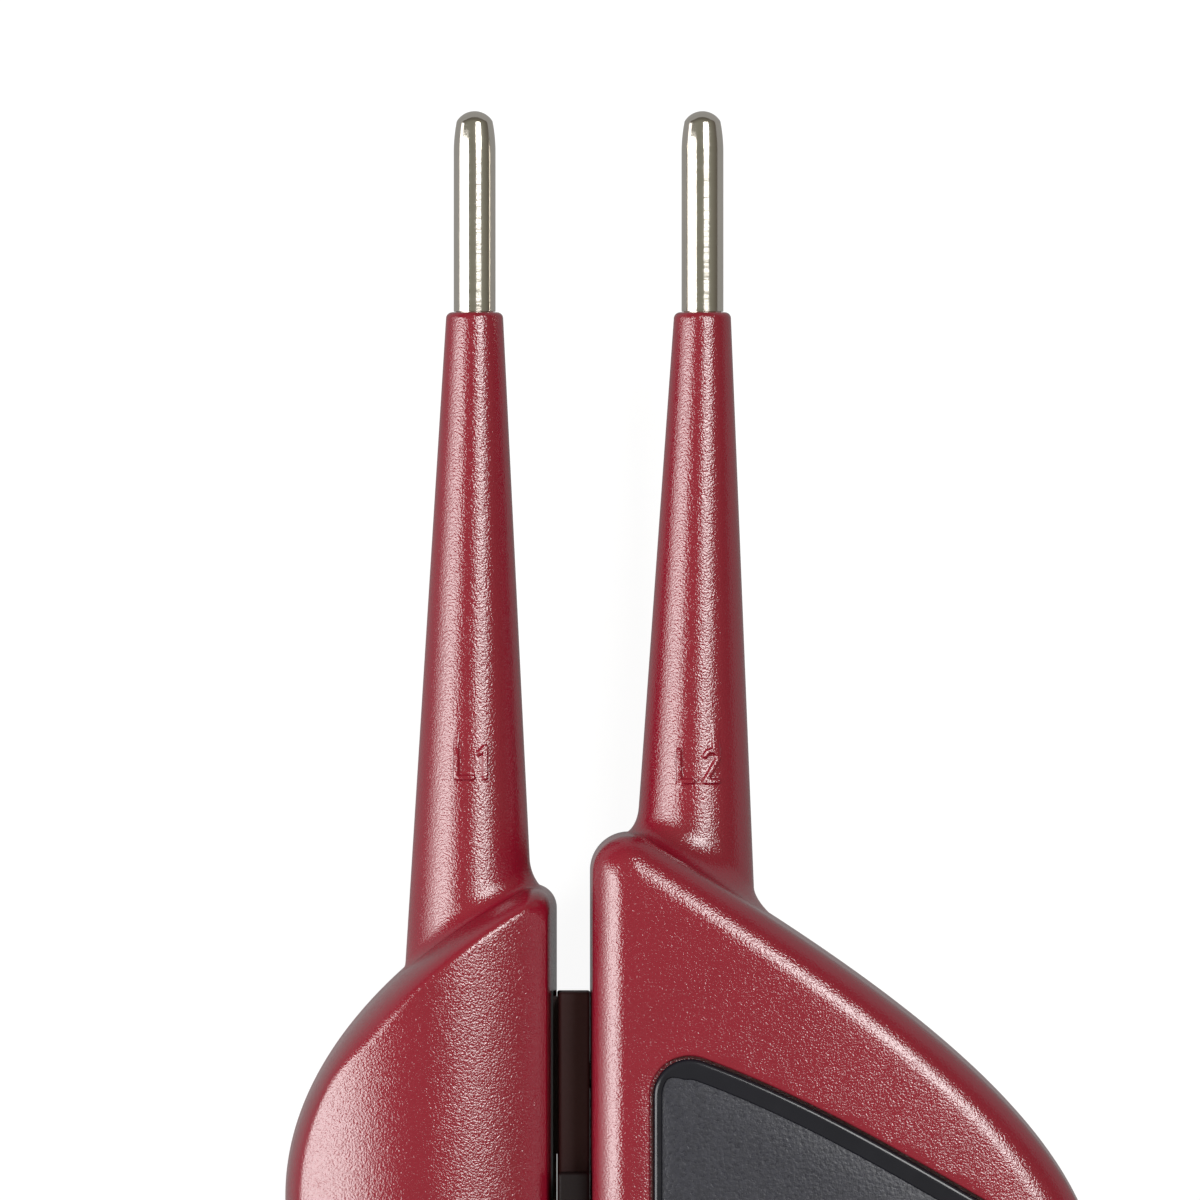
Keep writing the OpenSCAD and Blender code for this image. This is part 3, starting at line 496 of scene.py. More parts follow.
# Nickel-plated brass, turned: rings round the pin that draw a highlight out a little.
NICKEL = Finish("brass_turned_nickel_plated", "#dcd6cc", 0.14,
                (Grain(0.35, 0.004), Grain(2.5, 0.004)), colour_shift=0.02, rough_shift=0.04,
                metallic=1.0, stretch=(0.12, 1.0, 0.12))
# Polycarbonate sheet with a fine screen-printed texture on its face: dull dark grey.
PANEL_FACE = Finish("polycarbonate_textured_grey", "#313139", 0.34,
                    (Grain(0.35, 0.06, 3.0), Grain(1.4, 0.01)), colour_shift=0.2,
                    patch_size=0.5, rough_shift=0.1)
# The same sheet's glossy border, coloured near black as a painted dark reflection along the
# window's edge.
PANEL_EDGE_PAINTED_REFLECTION = Finish("polycarbonate_edge_painted_reflection", "#1c1c23", 0.2,
                    (Grain(2.0, 0.003), Grain(8.0, 0.01)), rough_shift=0.04)
# Brown nylon from a mould with a finer texture and a satin shine, lightened as painted light for
# the shade between the handles.
RAIL_PAINTED_LIGHT = Finish("nylon_moulded_painted_light", "#4f2c2c", 0.5,
              (Grain(0.25, 0.01), Grain(1.5, 0.01)), rough_shift=0.08)
# The same nylon, coloured nearly black as painted shade for the high block, which stands in full
# light.
BLOCK_PAINTED_SHADE = Finish("nylon_moulded_painted_shade", "#150b0c", 0.55,
               (Grain(0.25, 0.01), Grain(1.5, 0.01)), rough_shift=0.08, specular=0.2)
# Plain moulded plastic of the buttons and the channel: black with a soft shine.
BLACK = Finish("abs_moulded_black", "#1d1d20", 0.42, (Grain(0.25, 0.012), Grain(1.5, 0.01)),
               rough_shift=0.08)
# Moulded rubber: dull, with uneven patches.
RUBBER = Finish("rubber_moulded_black", "#1a1a1b", 0.62, (Grain(0.3, 0.015), Grain(3.0, 0.03)),
                colour_shift=0.12, patch_size=2.5)
# Zinc plating: bluish white metal with a clouded shine.
ZINC = Finish("steel_zinc_plated", "#b9bcc0", 0.3, (Grain(0.3, 0.004), Grain(2.0, 0.01)),
              metallic=1.0, rough_shift=0.08)
# Drawn spring steel: smoother and warmer than the zinc.
SPRING = Finish("spring_steel_drawn", "#a9a7a2", 0.26, (Grain(0.3, 0.003), Grain(2.0, 0.006)),
                metallic=1.0)
# Rolled copper strip: orange metal with a clean shine.
COPPER = Finish("copper_strip_rolled", "#b87a4b", 0.28, (Grain(0.4, 0.003), Grain(2.0, 0.006)),
                metallic=1.0)
# Frosted acrylic: milky light pipes that let some light through.
LENS = Finish("acrylic_moulded_frosted", "#d9dcdf", 0.22, (Grain(0.4, 0.004), Grain(2.0, 0.01)),
              colour_shift=0.03, transmission=0.55)
# Cast epoxy: the yellowish drop over a diode.
DIODE = Finish("epoxy_cast_yellowish", "#d8cf9a", 0.3, (Grain(0.3, 0.004), Grain(1.0, 0.006)))
# Solder mask over glass weave: glossy green with a woven unevenness.
BOARD = Finish("glass_epoxy_solder_mask_green", "#12482c", 0.3,
               (Grain(0.5, 0.01), Grain(2.5, 0.01)), colour_shift=0.15, patch_size=1.6, coat=0.4)
# Lacquered ceramic: tan with an eggshell surface.
RESISTOR = Finish("ceramic_lacquered_tan", "#c0a072", 0.45, (Grain(0.4, 0.02), Grain(1.5, 0.02)))
# Moulded acetal: ivory and slightly waxy.
PLUNGER = Finish("acetal_moulded_ivory", "#e4dcc4", 0.4, (Grain(0.3, 0.006), Grain(1.5, 0.01)))
# Lacquered steel can: slate with a clear gloss over it.
CELL = Finish("steel_can_lacquered_slate", "#4a5664", 0.3, (Grain(0.5, 0.004), Grain(4.0, 0.01)),
              metallic=0.3, coat=0.5)
# Screen-printed ink: matt off-white with a dry edge.
INK = Finish("ink_screen_printed_white", "#d5d6d3", 0.55, (Grain(0.15, 0.01), Grain(0.6, 0.01)))


# ---- Handles ------------------------------------------------------------------------------------


@dataclass(frozen=True)
class Tray:
    """One moulded half: its levels, edge radii, bow and draft."""

    seam: float
    base: float
    top: float
    r_in: float
    r_out: float
    bow: float
    bow_in: float
    d_in: float
    d_out: float
    swell: float = 1.0
    side_r: float = 1.0
    thick: float = 2.4
    groove: float = 0.3
    wall_rows: int = 16
    round_rows: int = 14
    fill_rows: int = 5

    @property
    def up(self) -> float:
        """1 for a front half, whose top is above the seam, and -1 for a rear half."""
        return math.copysign(1.0, self.top - self.seam)

    def inner(self) -> "Tray":
        """The same tray's inner face: base half a wall and top one wall closer to the seam."""
        t = self.up * self.thick
        return replace(self, base=self.base - t / 2, top=self.top - t,
                       r_in=max(self.r_in - self.thick, 0.4),
                       r_out=max(self.r_out - self.thick, 1.0),
                       groove=0.0, wall_rows=3, round_rows=6, fill_rows=3)


@dataclass(frozen=True)
class Plan:
    """Outline of a handle: grip, sweep out to the guard, brow up to the shoulder, docking wall."""

    width: float
    grip: float
    top: float
    foot: float
    guard: float
    corner_r: float
    brow_angle: float
    brow_pull: float
    guard_pull: float
    heel_r: float
    toe_r: float
    sweep_l: float
    wall_x: float
    side: float
    corner_low: float = 0.9
    split: int = 50
    split_share: float = 0.55
    grip_n: int = 40
    sweep_n: int = 60
    brow_n: int = 44
    corner_n: int = 26
    drop_n: int = 14
    toe_n: int = 15
    heel_n: int = 25
    reach_limit: float = 0.94
    round_limit: float = 0.92
    side_share: tuple[float, float] = (0.87, 0.94)
    crest: float = 0.5

    @cached_property
    def brow_end(self) -> Array:
        """Point where the brow meets the shoulder's round corner."""
        a = math.radians(self.brow_angle)
        return np.array([self.corner_r * (1 + math.cos(a)),
                         self.top - self.corner_r * (1 - math.sin(a))])

    @cached_property
    def outer(self) -> Array:
        """Outer side from the heel to the brow: a line, then two cubic curves.

        Returns:
            Points in (u, v), from the heel up.
        """
        start = self.guard - self.sweep_l
        grip = np.column_stack([np.full(self.grip_n, self.grip), np.linspace(
            self.foot + self.heel_r, start, self.grip_n, endpoint=False)])
        sweep = cubic([(self.grip, start), (self.grip, self.guard - self.sweep_l / 2),
                       (self.width, self.guard - self.sweep_l / 3), (self.width, self.guard)],
                      np.linspace(0, 1, self.sweep_n, endpoint=False))
        return np.concatenate([grip, sweep, cubic(self.brow, self.brow_shares[:self.split])])

    @cached_property
    def brow(self) -> Array:
        """Control points of the brow, which leaves the shoulder's corner at the brow angle."""
        a = math.radians(self.brow_angle)
        pull = self.brow_pull * np.array([math.sin(a), -math.cos(a)])
        return np.array([(self.width, self.guard), (self.width, self.guard + self.guard_pull),
                         self.brow_end + pull, self.brow_end])

    @cached_property
    def brow_shares(self) -> Array:
        """Shares of the brow's points; the first split of them have a partner on the wall."""
        return np.concatenate([np.linspace(0, self.split_share, self.split, endpoint=False),
                               np.linspace(self.split_share, 1, self.brow_n)])

    @cached_property
    def cap(self) -> Array:
        """Rest of the brow, the shoulder's round corner and the wall's first stretch."""
        corner = arc((self.corner_r, self.top - self.corner_r), self.corner_r,
                     self.brow_angle, 180, self.corner_n + 2)
        drop = np.linspace(self.top - self.corner_r, self.outer[-1, 1], self.drop_n + 1)[1:-1]
        return np.concatenate([cubic(self.brow, self.brow_shares[self.split:]), corner[1:],
                               np.column_stack([np.zeros(len(drop)), drop])])

    @cached_property
    def loop(self) -> Array:
        """Whole outline, counter-clockwise from the heel.

        Returns:
            The closed loop in (u, v).
        """
        wall = np.column_stack([np.zeros(len(self.outer)), self.outer[::-1, 1]])
        toe = arc((self.toe_r, self.foot + self.toe_r), self.toe_r, 180, 270, self.toe_n)
        heel = arc((self.grip - self.heel_r, self.foot + self.heel_r), self.heel_r, 270, 360,
                   self.heel_n)
        return np.concatenate([self.outer, self.cap, wall, toe[1:], heel[:-1]])

    @cached_property
    def spine(self) -> Array:
        """Point of the middle line that each outline point is drawn towards."""
        mid = self.outer * (0.5, 1.0)
        ends = [np.repeat(mid[-1:], len(self.cap), axis=0), mid[::-1],
                np.repeat(mid[:1], self.toe_n + self.heel_n - 2, axis=0)]
        return np.concatenate([mid, *ends])

    @cached_property
    def normal(self) -> Array:
        """Unit normals of the outline, pointing inwards."""
        return inward(self.loop)

    @cached_property
    def reach(self) -> Array:
        """Distance from each outline point to its spine point, along the normal."""
        return np.sum((self.spine - self.loop) * self.normal, axis=1)

    def mid(self, v: Array) -> Array:
        """Crown's middle at v: a share of the outer side's u up to the guard, constant above."""
        kept = self.outer[self.outer[:, 1] <= self.guard + 1e-6]
        return self.crest * np.interp(v, kept[:, 1], kept[:, 0])

    def crown(self, tray: Tray, u: Array, v: Array) -> Array:
        """Height of a tray's face: its top less a bow times the squared distance to the middle.

        The docking wall's side of the middle has a bow of its own.
        """
        off = u - self.mid(v)
        return tray.top - np.where(off < 0, tray.bow_in, tray.bow) * off**2

    def edge(self, tray: Tray, inset: float) -> tuple[Array, Array]:
        """Drafted inset and edge radius at each outline point.

        Both go from the docking wall's value to the outer side's with the share w = (1 - n) / 2,
        where n is the inward normal's part along u. The radius takes w to a power, so that it stays
        small round the shoulder, is scaled by side_r where the outline faces straight sideways, and
        keeps within round_limit of the reach.

        Args:
            tray: Tray whose edge it is.
            inset: Inset that the draft is added to.

        Returns:
            Inset and radius, one value for each outline point.
        """
        w = (1.0 - self.normal[:, 0]) / 2.0
        drafted = inset + mix(tray.d_in, tray.d_out, w)
        r = mix(tray.r_in, tray.r_out, w**tray.swell)
        r = r * mix(1.0, tray.side_r, smooth(*self.side_share, w))
        return drafted, np.minimum(r, self.round_limit * self.reach - drafted)

    def ring(self, d: Array, z: Array) -> Array:
        """Outline moved inwards by the distance d and lifted to z.

        Most points go towards the spine, by a share d over the reach of at most reach_limit. The
        brow's points go along its normal from a share that shrinks as d outgrows the corner, so
        that the corner, a conic between the brow's end and the wall, never folds.

        Args:
            d: Distance of each point, measured along the normal.
            z: Height of each point.

        Returns:
            One ring of points (u, v, z).
        """
        share = np.minimum(self.reach_limit, d / self.reach)[:, None]
        p = self.loop + (self.spine - self.loop) * share
        first = len(self.outer) - self.split
        last = first + len(self.brow_shares)
        far = d[last - 1] - self.corner_r + self.corner_low
        soft = 0.6
        near = self.corner_low - self.corner_r
        over = 0.5 * (far + math.hypot(far, soft)) - 0.5 * (near + math.hypot(near, soft))
        back = over / math.tan(math.radians(self.brow_angle) / 2) / (3.0 * self.brow_pull)
        t = self.brow_shares * (1.0 - back)
        way = np.gradient(cubic(self.brow, np.stack([t - 1e-4, t + 1e-4], 1).ravel()).reshape(
            -1, 2, 2), axis=1)[:, 0]
        way /= np.linalg.norm(way, axis=1, keepdims=True)
        turn = np.column_stack([-way[:, 1], way[:, 0]])
        p[first:last] = cubic(self.brow, t) + turn * d[first:last, None]
        start = p[last - 1]
        ahead = start - p[last - 2]
        ahead /= np.linalg.norm(ahead)
        wall = last + self.corner_n
        knee = start + ahead * (d[wall] - start[0]) / ahead[0]
        length = np.linalg.norm(knee - start)
        end = knee - (0.0, length)
        s = np.linspace(0, 1, self.corner_n + 2)[1:, None]
        pull = 2 * s * (1 - s) * math.cos(math.acos(-ahead[1]) / 2)
        p[last:wall + 1] = ((1 - s) ** 2 * start + pull * knee + s * s * end) / (
            (1 - s) ** 2 + pull + s * s)
        stop = len(self.outer) + len(self.cap)
        down = np.linspace(end[1], self.outer[-1, 1], self.drop_n + 1)[1:-1]
        p[wall + 1:stop] = np.column_stack([d[wall + 1:stop], down])
        return np.column_stack([p, np.broadcast_to(z, len(p))])

    def surface(self, tray: Tray, inset: float) -> Array:
        """Rings of one face of a tray, from the seam over the rounded edge to the spine.

        A wall point goes in by the draft in step with its height. A point of the edge at the angle
        a lies r (1 - cos a) further in and at base + (crown - base) sin a. The last rings go
        straight to the spine under the crown.

        Args:
            tray: Levels and radii.
            inset: Distance between the outline and this face's wall.

        Returns:
            Array of rings in (u, v, z).
        """
        drafted, r = self.edge(tray, inset)
        full = np.ones(len(self.loop))
        rings = []
        if tray.groove:
            for a in np.radians(np.linspace(90.0, 30.0, 3)):
                lift = tray.groove * (1.0 - math.sin(a))
                rings.append(self.ring(full * (inset + tray.groove * (1.0 - math.cos(a))),
                                       tray.seam + tray.up * lift))
        else:
            rings.append(self.ring(full * inset, tray.seam))
        first = tray.groove / abs(tray.base - tray.seam) if tray.groove else 1.0 / tray.wall_rows
        for t in np.linspace(first, 1.0, tray.wall_rows, endpoint=False):
            rings.append(self.ring(mix(inset, drafted, t), mix(tray.seam, tray.base, t)))
        for a in np.radians(np.linspace(0.0, 90.0, tray.round_rows)):
            p = self.ring(drafted + r * (1.0 - math.cos(a)), 0.0)
            top = self.crown(tray, p[:, 0], p[:, 1])
            p[:, 2] = tray.base + (top - tray.base) * math.sin(a)
            rings.append(p)
        edge = rings[-1][:, :2]
        for t in np.linspace(0.0, 1.0, tray.fill_rows + 1)[1:]:
            p = mix(edge, self.spine, t)
            rings.append(np.column_stack([p, self.crown(tray, p[:, 0], p[:, 1])]))
        return np.stack(rings)

    def shell(self, tray: Tray) -> Skin:
        """Closed skin of a tray: inner face, rim at the seam and outer face in one grid."""
        inside = self.surface(tray.inner(), tray.thick)[::-1]
        outside = self.surface(tray, 0.0)
        return loft(self.placed(np.concatenate([inside, outside])), Ends.MERGED)

    def core(self, tray: Tray, depth: float) -> Skin:
        """Solid that fills a tray up to depth below its outer face; it trims what stands inside.

        Args:
            tray: Tray that is filled.
            depth: Distance below its outer face.

        Returns:
            The skin, placed in the part's frame.
        """
        low = replace(tray, top=tray.top - tray.up * depth, groove=0.0, wall_rows=3,
                      round_rows=8, fill_rows=3)
        floor = np.column_stack([self.spine, np.full(len(self.spine), tray.seam)])
        rings = np.concatenate([floor[None], self.surface(low, depth)])
        return loft(self.placed(rings), Ends.MERGED)

    def placed(self, p: Array) -> Array:
        """Points (u, v, z) of the handle in the part's frame."""
        out = np.array(p, dtype=float)
        out[..., 0] = self.wall_x + self.side * out[..., 0]
        return out

    def at(self, u: float, v: float, z: float = 0.0) -> tuple[float, float, float]:
        """One point (u, v, z) of the handle in the part's frame."""
        return (self.wall_x + self.side * u, v, z)

    def moved(self, *skins: Skin) -> list[Skin]:
        """Skins drawn in (u, v, z), placed in the part's frame."""
        return [Skin(self.placed(s.points), s.faces, s.tints) for s in skins]

    def shoulder(self, tray: Tray, u: Array, z: Array) -> Array:
        """Height along v of the shoulder's outer wall over (u, z).

        At each of many levels the brow and corner are moved in as far as the tray's wall and
        rounded edge have gone there. That gives a table of v over u and level, read bilinearly.

        Args:
            tray: Tray that the shoulder belongs to.
            u: Distances from the docking wall.
            z: Heights, one for each u.

        Returns:
            One v for each pair.
        """
        levels = np.linspace(tray.seam, tray.top - 1.5, 48)
        pick = slice(len(self.outer) - self.split, len(self.outer) + len(self.cap))
        drafted, r = self.edge(tray, 0.0)
        top = self.crown(tray, self.loop[:, 0], self.loop[:, 1])
        low = np.clip((levels[:, None] - tray.seam) / (tray.base - tray.seam), 0.0, 1.0) * drafted
        rise = np.clip((levels[:, None] - tray.base) / (top - tray.base), 0.0, 0.999)
        gone = low + r * (1.0 - np.sqrt(1.0 - rise**2))
        rings = np.stack([self.ring(d, 0.0)[pick, :2][::-1] for d in gone])
        grid = np.linspace(0.02, self.width * 0.9, 400)
        table = np.stack([np.interp(grid, p[:, 0], p[:, 1]) for p in rings])
        row = np.clip((z - levels[0]) / (levels[1] - levels[0]), 0.0, len(levels) - 1.001)
        col = np.clip((u - grid[0]) / (grid[1] - grid[0]), 0.0, len(grid) - 1.001)
        j, i = row.astype(int), col.astype(int)
        low, high = (mix(table[k, i], table[k, i + 1], col - i) for k in (j, j + 1))
        return mix(low, high, row - j)


def rim_cutter(plan: Plan, tray: Tray, loop: Array, low: float, r: float) -> Skin:
    """Cutter of a pocket or hole whose rim is rounded and follows the crown.

    Its wall is upright up to r below the face. There a quarter circle of the radius r turns it
    outwards, up to 75 degrees, and a short straight stretch in the same direction leaves the face.

    Args:
        plan: Handle that is cut.
        tray: Tray whose crown the rim follows.
        loop: Counter-clockwise outline of the hole in (u, v).
        low: Height of the hole's floor.
        r: Radius of the rim.

    Returns:
        The closed cutter, placed in the part's frame.
    """
    n = inward(loop)
    a = np.radians(np.linspace(0.0, 75.0, 7))
    leave_out, leave_up, lid_up = 0.34, 0.09, 2.0
    out = np.concatenate([[0.0], r * (1 - np.cos(a)), [r * (1 - math.cos(a[-1])) + leave_out]])
    lift = np.concatenate([r * (np.sin(a) - 1), [r * (math.sin(a[-1]) - 1) + leave_up]])
    p = loop - n * out[:, None, None]
    z = plan.crown(tray, p[..., 0], p[..., 1]) + np.concatenate([[0.0], lift])[:, None]
    z[0] = low
    rings = np.concatenate([p, z[..., None]], axis=-1)
    lid = rings[-1:] + (0.0, 0.0, lid_up)
    return loft(plan.placed(np.concatenate([rings, lid])))


# ---- Necks, marks and pins ----------------------------------------------------------------------


@dataclass(frozen=True)
class Fillet:
    """Width on the wall and height on the neck of a root fillet, towards four sides."""

    outer: tuple[float, float]
    front: tuple[float, float]
    gap: tuple[float, float]
    back: tuple[float, float]

    def at(self, a: Array) -> tuple[Array, Array]:
        """Width and height at the angles a: the neighbours weighted by squared cosine and sine.

        Args:
            a: Angles round the neck.

        Returns:
            Widths on the wall and heights on the neck.
        """
        c, s = np.cos(a), np.sin(a)
        made = []
        for i in (0, 1):
            side = np.where(c > 0, self.outer[i], self.gap[i])
            rise = np.where(s > 0, self.front[i], self.back[i])
            made.append(side * c * c + rise * s * s)
        return made[0], made[1]


@dataclass(frozen=True)
class Mark:
    """Raised pole mark: strokes in the part's frame, seen from above."""

    strokes: tuple[tuple[tuple[float, float], ...], ...]
    half: float = 0.31
    flat: float = 0.15
    height: float = 0.25

    def relief(self, x: Array, y: Array) -> Array:
        """Height of the mark: full within flat of the nearest stroke, smoothly nil at half."""
        best = np.full(x.shape, 1e3)
        for line in self.strokes:
            for (ax, ay), (bx, by) in zip(line, line[1:]):
                dx, dy = bx - ax, by - ay
                t = np.clip(((x - ax) * dx + (y - ay) * dy) / (dx * dx + dy * dy), 0.0, 1.0)
                best = np.minimum(best, np.hypot(x - ax - t * dx, y - ay - t * dy))
        return self.height * (1.0 - smooth(self.flat, self.half, best))


@dataclass(frozen=True)
class Neck:
    """Tapered neck that carries a contact pin, with the fillet at its root."""

    u: float
    lean: float
    fillet: Fillet
    mark: Mark
    collar: float = 100.8
    z: float = PIN_Z
    r: float = 2.7
    taper: float = 0.056
    end_r: float = 0.6
    root: float = 8.2
    mark_low: float = 55.2
    mark_high: float = 60.2
    bore: float = 1.82

    def radius(self, v: Array) -> Array:
        """Radius at v: it grows by the taper with the distance from the collar."""
        return self.r + self.taper * (self.collar - v)

    def axis(self, v: Array) -> Array:
        """Axis at v: it leans towards the gap with the distance from the collar."""
        return self.u - math.tan(math.radians(self.lean)) * (self.collar - v)

    def skin(self, plan: Plan, tray: Tray) -> Skin:
        """Closed skin of the neck, from the collar over cone, mark and fillet into the shoulder.

        The point at the angle a and v lies at axis(v) + (radius(v) + relief) (cos a, sin a). Below
        the crease's height V plus H, the fillet's quarter ellipse leads out: at its share b it
        lies w (1 - cos b) further out and at V + H (1 - sin b), so it leaves the neck along the
        neck and meets the wall nearly along the wall. The rest is sunk in the wall.

        Args:
            plan: Handle that the neck stands on.
            tray: Its front tray.

        Returns:
            The skin, placed in the part's frame.
        """
        a = np.concatenate([np.linspace(-math.pi * 1.22, math.pi * 0.33, 84, endpoint=False),
                            np.linspace(math.pi * 0.33, math.pi * 0.78, 90, endpoint=False)])
        c, s = np.cos(a), np.sin(a)
        w, h = self.fillet.at(a)

        def wall_at(rho: Array, v: Array) -> Array:
            """Shoulder's v under the point at the distance rho from the axis."""
            return plan.shoulder(tray, self.axis(v) + rho * c, self.z + rho * s)

        crease = np.full(len(a), plan.top)
        for _ in range(12):
            crease = wall_at(self.radius(crease), crease)
        start = crease + h
        ends = self.collar - self.end_r

        def ring(rho: Array, v: Array) -> Array:
            """Points at the distance rho from the axis and at v."""
            return np.stack([self.axis(v) + rho * c, v, self.z + rho * s], axis=-1)

        rows = []
        full = np.ones(len(a))
        for b in np.radians(np.linspace(90.0, 0.0, 8)):
            v = ends + self.end_r * math.sin(b)
            rows.append(ring(full * (self.radius(ends) - self.end_r * (1 - math.cos(b))), full * v))
        front = float(np.interp(math.pi / 2, a, start))
        top, low = [(ends - v) / (ends - front) for v in (self.mark_high, self.mark_low)]
        shares = np.concatenate([np.linspace(0, top, 30)[1:], np.linspace(top, low, 84)[1:],
                                 np.linspace(low, 1, 10)[1:]])
        for t in shares:
            v = mix(ends, start, t)
            p = ring(self.radius(v), v)
            x = plan.wall_x + plan.side * p[:, 0]
            lift = self.mark.relief(x, v) * (s > 0.2)
            rows.append(ring(self.radius(v) + lift, v))
        sink = 0.03
        for b in np.radians(np.linspace(0.0, 90.0, 12))[1:]:
            fade = h * (1.0 - math.sin(b))
            v = crease + fade
            for _ in range(6):
                rho = self.radius(crease) + w * (1 - math.cos(b)) - self.taper * fade
                v = wall_at(rho, v) + fade - sink * math.sin(b)
            rows.append(ring(rho, v))
        deep, slope = 1.0, 0.8
        for share in (1.0, 0.55):
            rho = self.radius(crease) + w * share - (1 - share) * slope
            rows.append(ring(rho, wall_at(rho, crease) - deep))
        end, within = plan.top - self.root, 0.94
        rows.append(ring(self.radius(crease) * within, np.minimum(crease - 1.2, end + 0.5)))
        rows.append(ring(self.radius(full * end) * within, full * end))
        return loft(plan.placed(np.stack(rows)))

    def bore_cutter(self, plan: Plan) -> Skin:
        """Bore of the pin, with a small chamfer at the collar."""
        low, high = plan.top - self.root - 1.0, self.collar
        rim = 0.12
        return turned([(self.bore, low), (self.bore, high - rim), (self.bore + rim, high),
                       (self.bore + rim, high + 1.0)],
                      plan.at(self.u, 0.0, self.z), Axis.Y, 48)


@dataclass(frozen=True)
class Pin:
    """Contact pin: dome, pointed stretch, plain stretch and a thinner shank in the neck."""

    r: float = 2.0
    out: float = 19.2
    nose: float = 3.9
    dome_angle: float = 31.0
    step: float = 0.2
    tail: float = 1.5

    def skin(self, neck: Neck, plan: Plan) -> Skin:
        """Turned skin of the pin.

        Above the plain stretch the radius falls with the square of the distance until it meets the
        dome, a part of a sphere of the pin's own radius.

        Args:
            neck: Neck that holds the pin.
            plan: Handle of the neck.

        Returns:
            The skin, placed in the part's frame.
        """
        start = plan.top - neck.root - self.tail
        tip = neck.collar + self.out
        seat, chamfer, lip = neck.collar + 0.05, 0.15, 0.05
        a = math.radians(self.dome_angle)
        rim = np.array([self.r * math.cos(a), tip - self.r + self.r * math.sin(a)])
        t = np.linspace(0.0, 1.0, 14)[1:]
        plain = tip - self.nose
        nose = np.column_stack([mix(self.r, rim[0], t**2), mix(plain, rim[1], t)])
        dome = arc((0.0, tip - self.r), self.r, self.dome_angle, 90.0, 14)[1:]
        shank = self.r - self.step
        body = [(shank - chamfer, start), (shank, start + chamfer), (shank, seat),
                (self.r - lip, seat), (self.r, seat + lip)]
        body += [(self.r, v) for v in np.linspace(seat + 0.2, plain, 12)]
        return turned(np.concatenate([body, nose, dome]), plan.at(neck.u, 0.0, neck.z), Axis.Y, 96)


# ---- Sub-assemblies -----------------------------------------------------------------------------


def octagon(u: float, z: float, flat_r: float, v0: float, v1: float) -> Skin:
    """Eight-sided rod along the handle: a turned skin of eight points, half a side round.

    Args:
        u: Place of its axis across the handle.
        z: Height of its axis.
        flat_r: Distance of its flats from the axis.
        v0: First end along the handle.
        v1: Last end.

    Returns:
        The skin in (u, v, z).
    """
    half = math.pi / 8
    a = np.arange(8) * math.pi / 4 + half
    r = flat_r / math.cos(half)
    ring = np.column_stack([u + r * np.cos(a), np.zeros(8), z + r * np.sin(a)])
    return loft(np.stack([ring + (0, v0, 0), ring + (0, v1, 0)]))


def screw_skin(centre: Point, head_r: float, shank_r: float, top: float,
               sink: float = 0.0) -> Skin:
    """Screw driven from below: turned head with a rounded rim, or a countersunk one, and shank.

    Args:
        centre: Middle of the head's outer face.
        head_r: Radius of the head.
        shank_r: Radius of the shank.
        top: Height of the screw's end.
        sink: Height of the countersunk cone, or nil for a flat-seated head.

    Returns:
        The closed skin.
    """
    edge, seat, tip = 0.5, 2.0, 0.6
    if sink:
        head = [(head_r, 0.0), (head_r, 0.1), (shank_r, sink + 0.1)]
    else:
        dome = arc((head_r - edge, edge), edge, -90, 0, 6)
        head = [*dome, (head_r, seat), (shank_r, seat)]
    length = top - centre[2]
    return turned([*head, (shank_r, length - tip), (shank_r - tip, length)], centre, Axis.Z, 48)


def cross_cutter(centre: Point, half_l: float = 1.3, half_w: float = 0.3,
                 depth: float = 0.9) -> Skin:
    """Cross recess: a twelve-cornered star that narrows with depth.

    Args:
        centre: Middle of the head's outer face.
        half_l: Half the length of an arm.
        half_w: Half its width.
        depth: Depth of the recess.

    Returns:
        The closed cutter.
    """
    quarter = np.array([(half_l, -half_w), (half_l, half_w), (half_w, half_w)])
    turns = [np.array([[math.cos(a), -math.sin(a)], [math.sin(a), math.cos(a)]])
             for a in np.arange(4) * math.pi / 2]
    star = np.concatenate([quarter @ t.T for t in turns])
    rings = [np.column_stack([star * s, np.full(12, z)])
             for s, z in ((1.04, -1.0), (1.0, 0.0), (0.62, depth))]
    return loft(np.stack(rings) + np.asarray(centre, dtype=float))


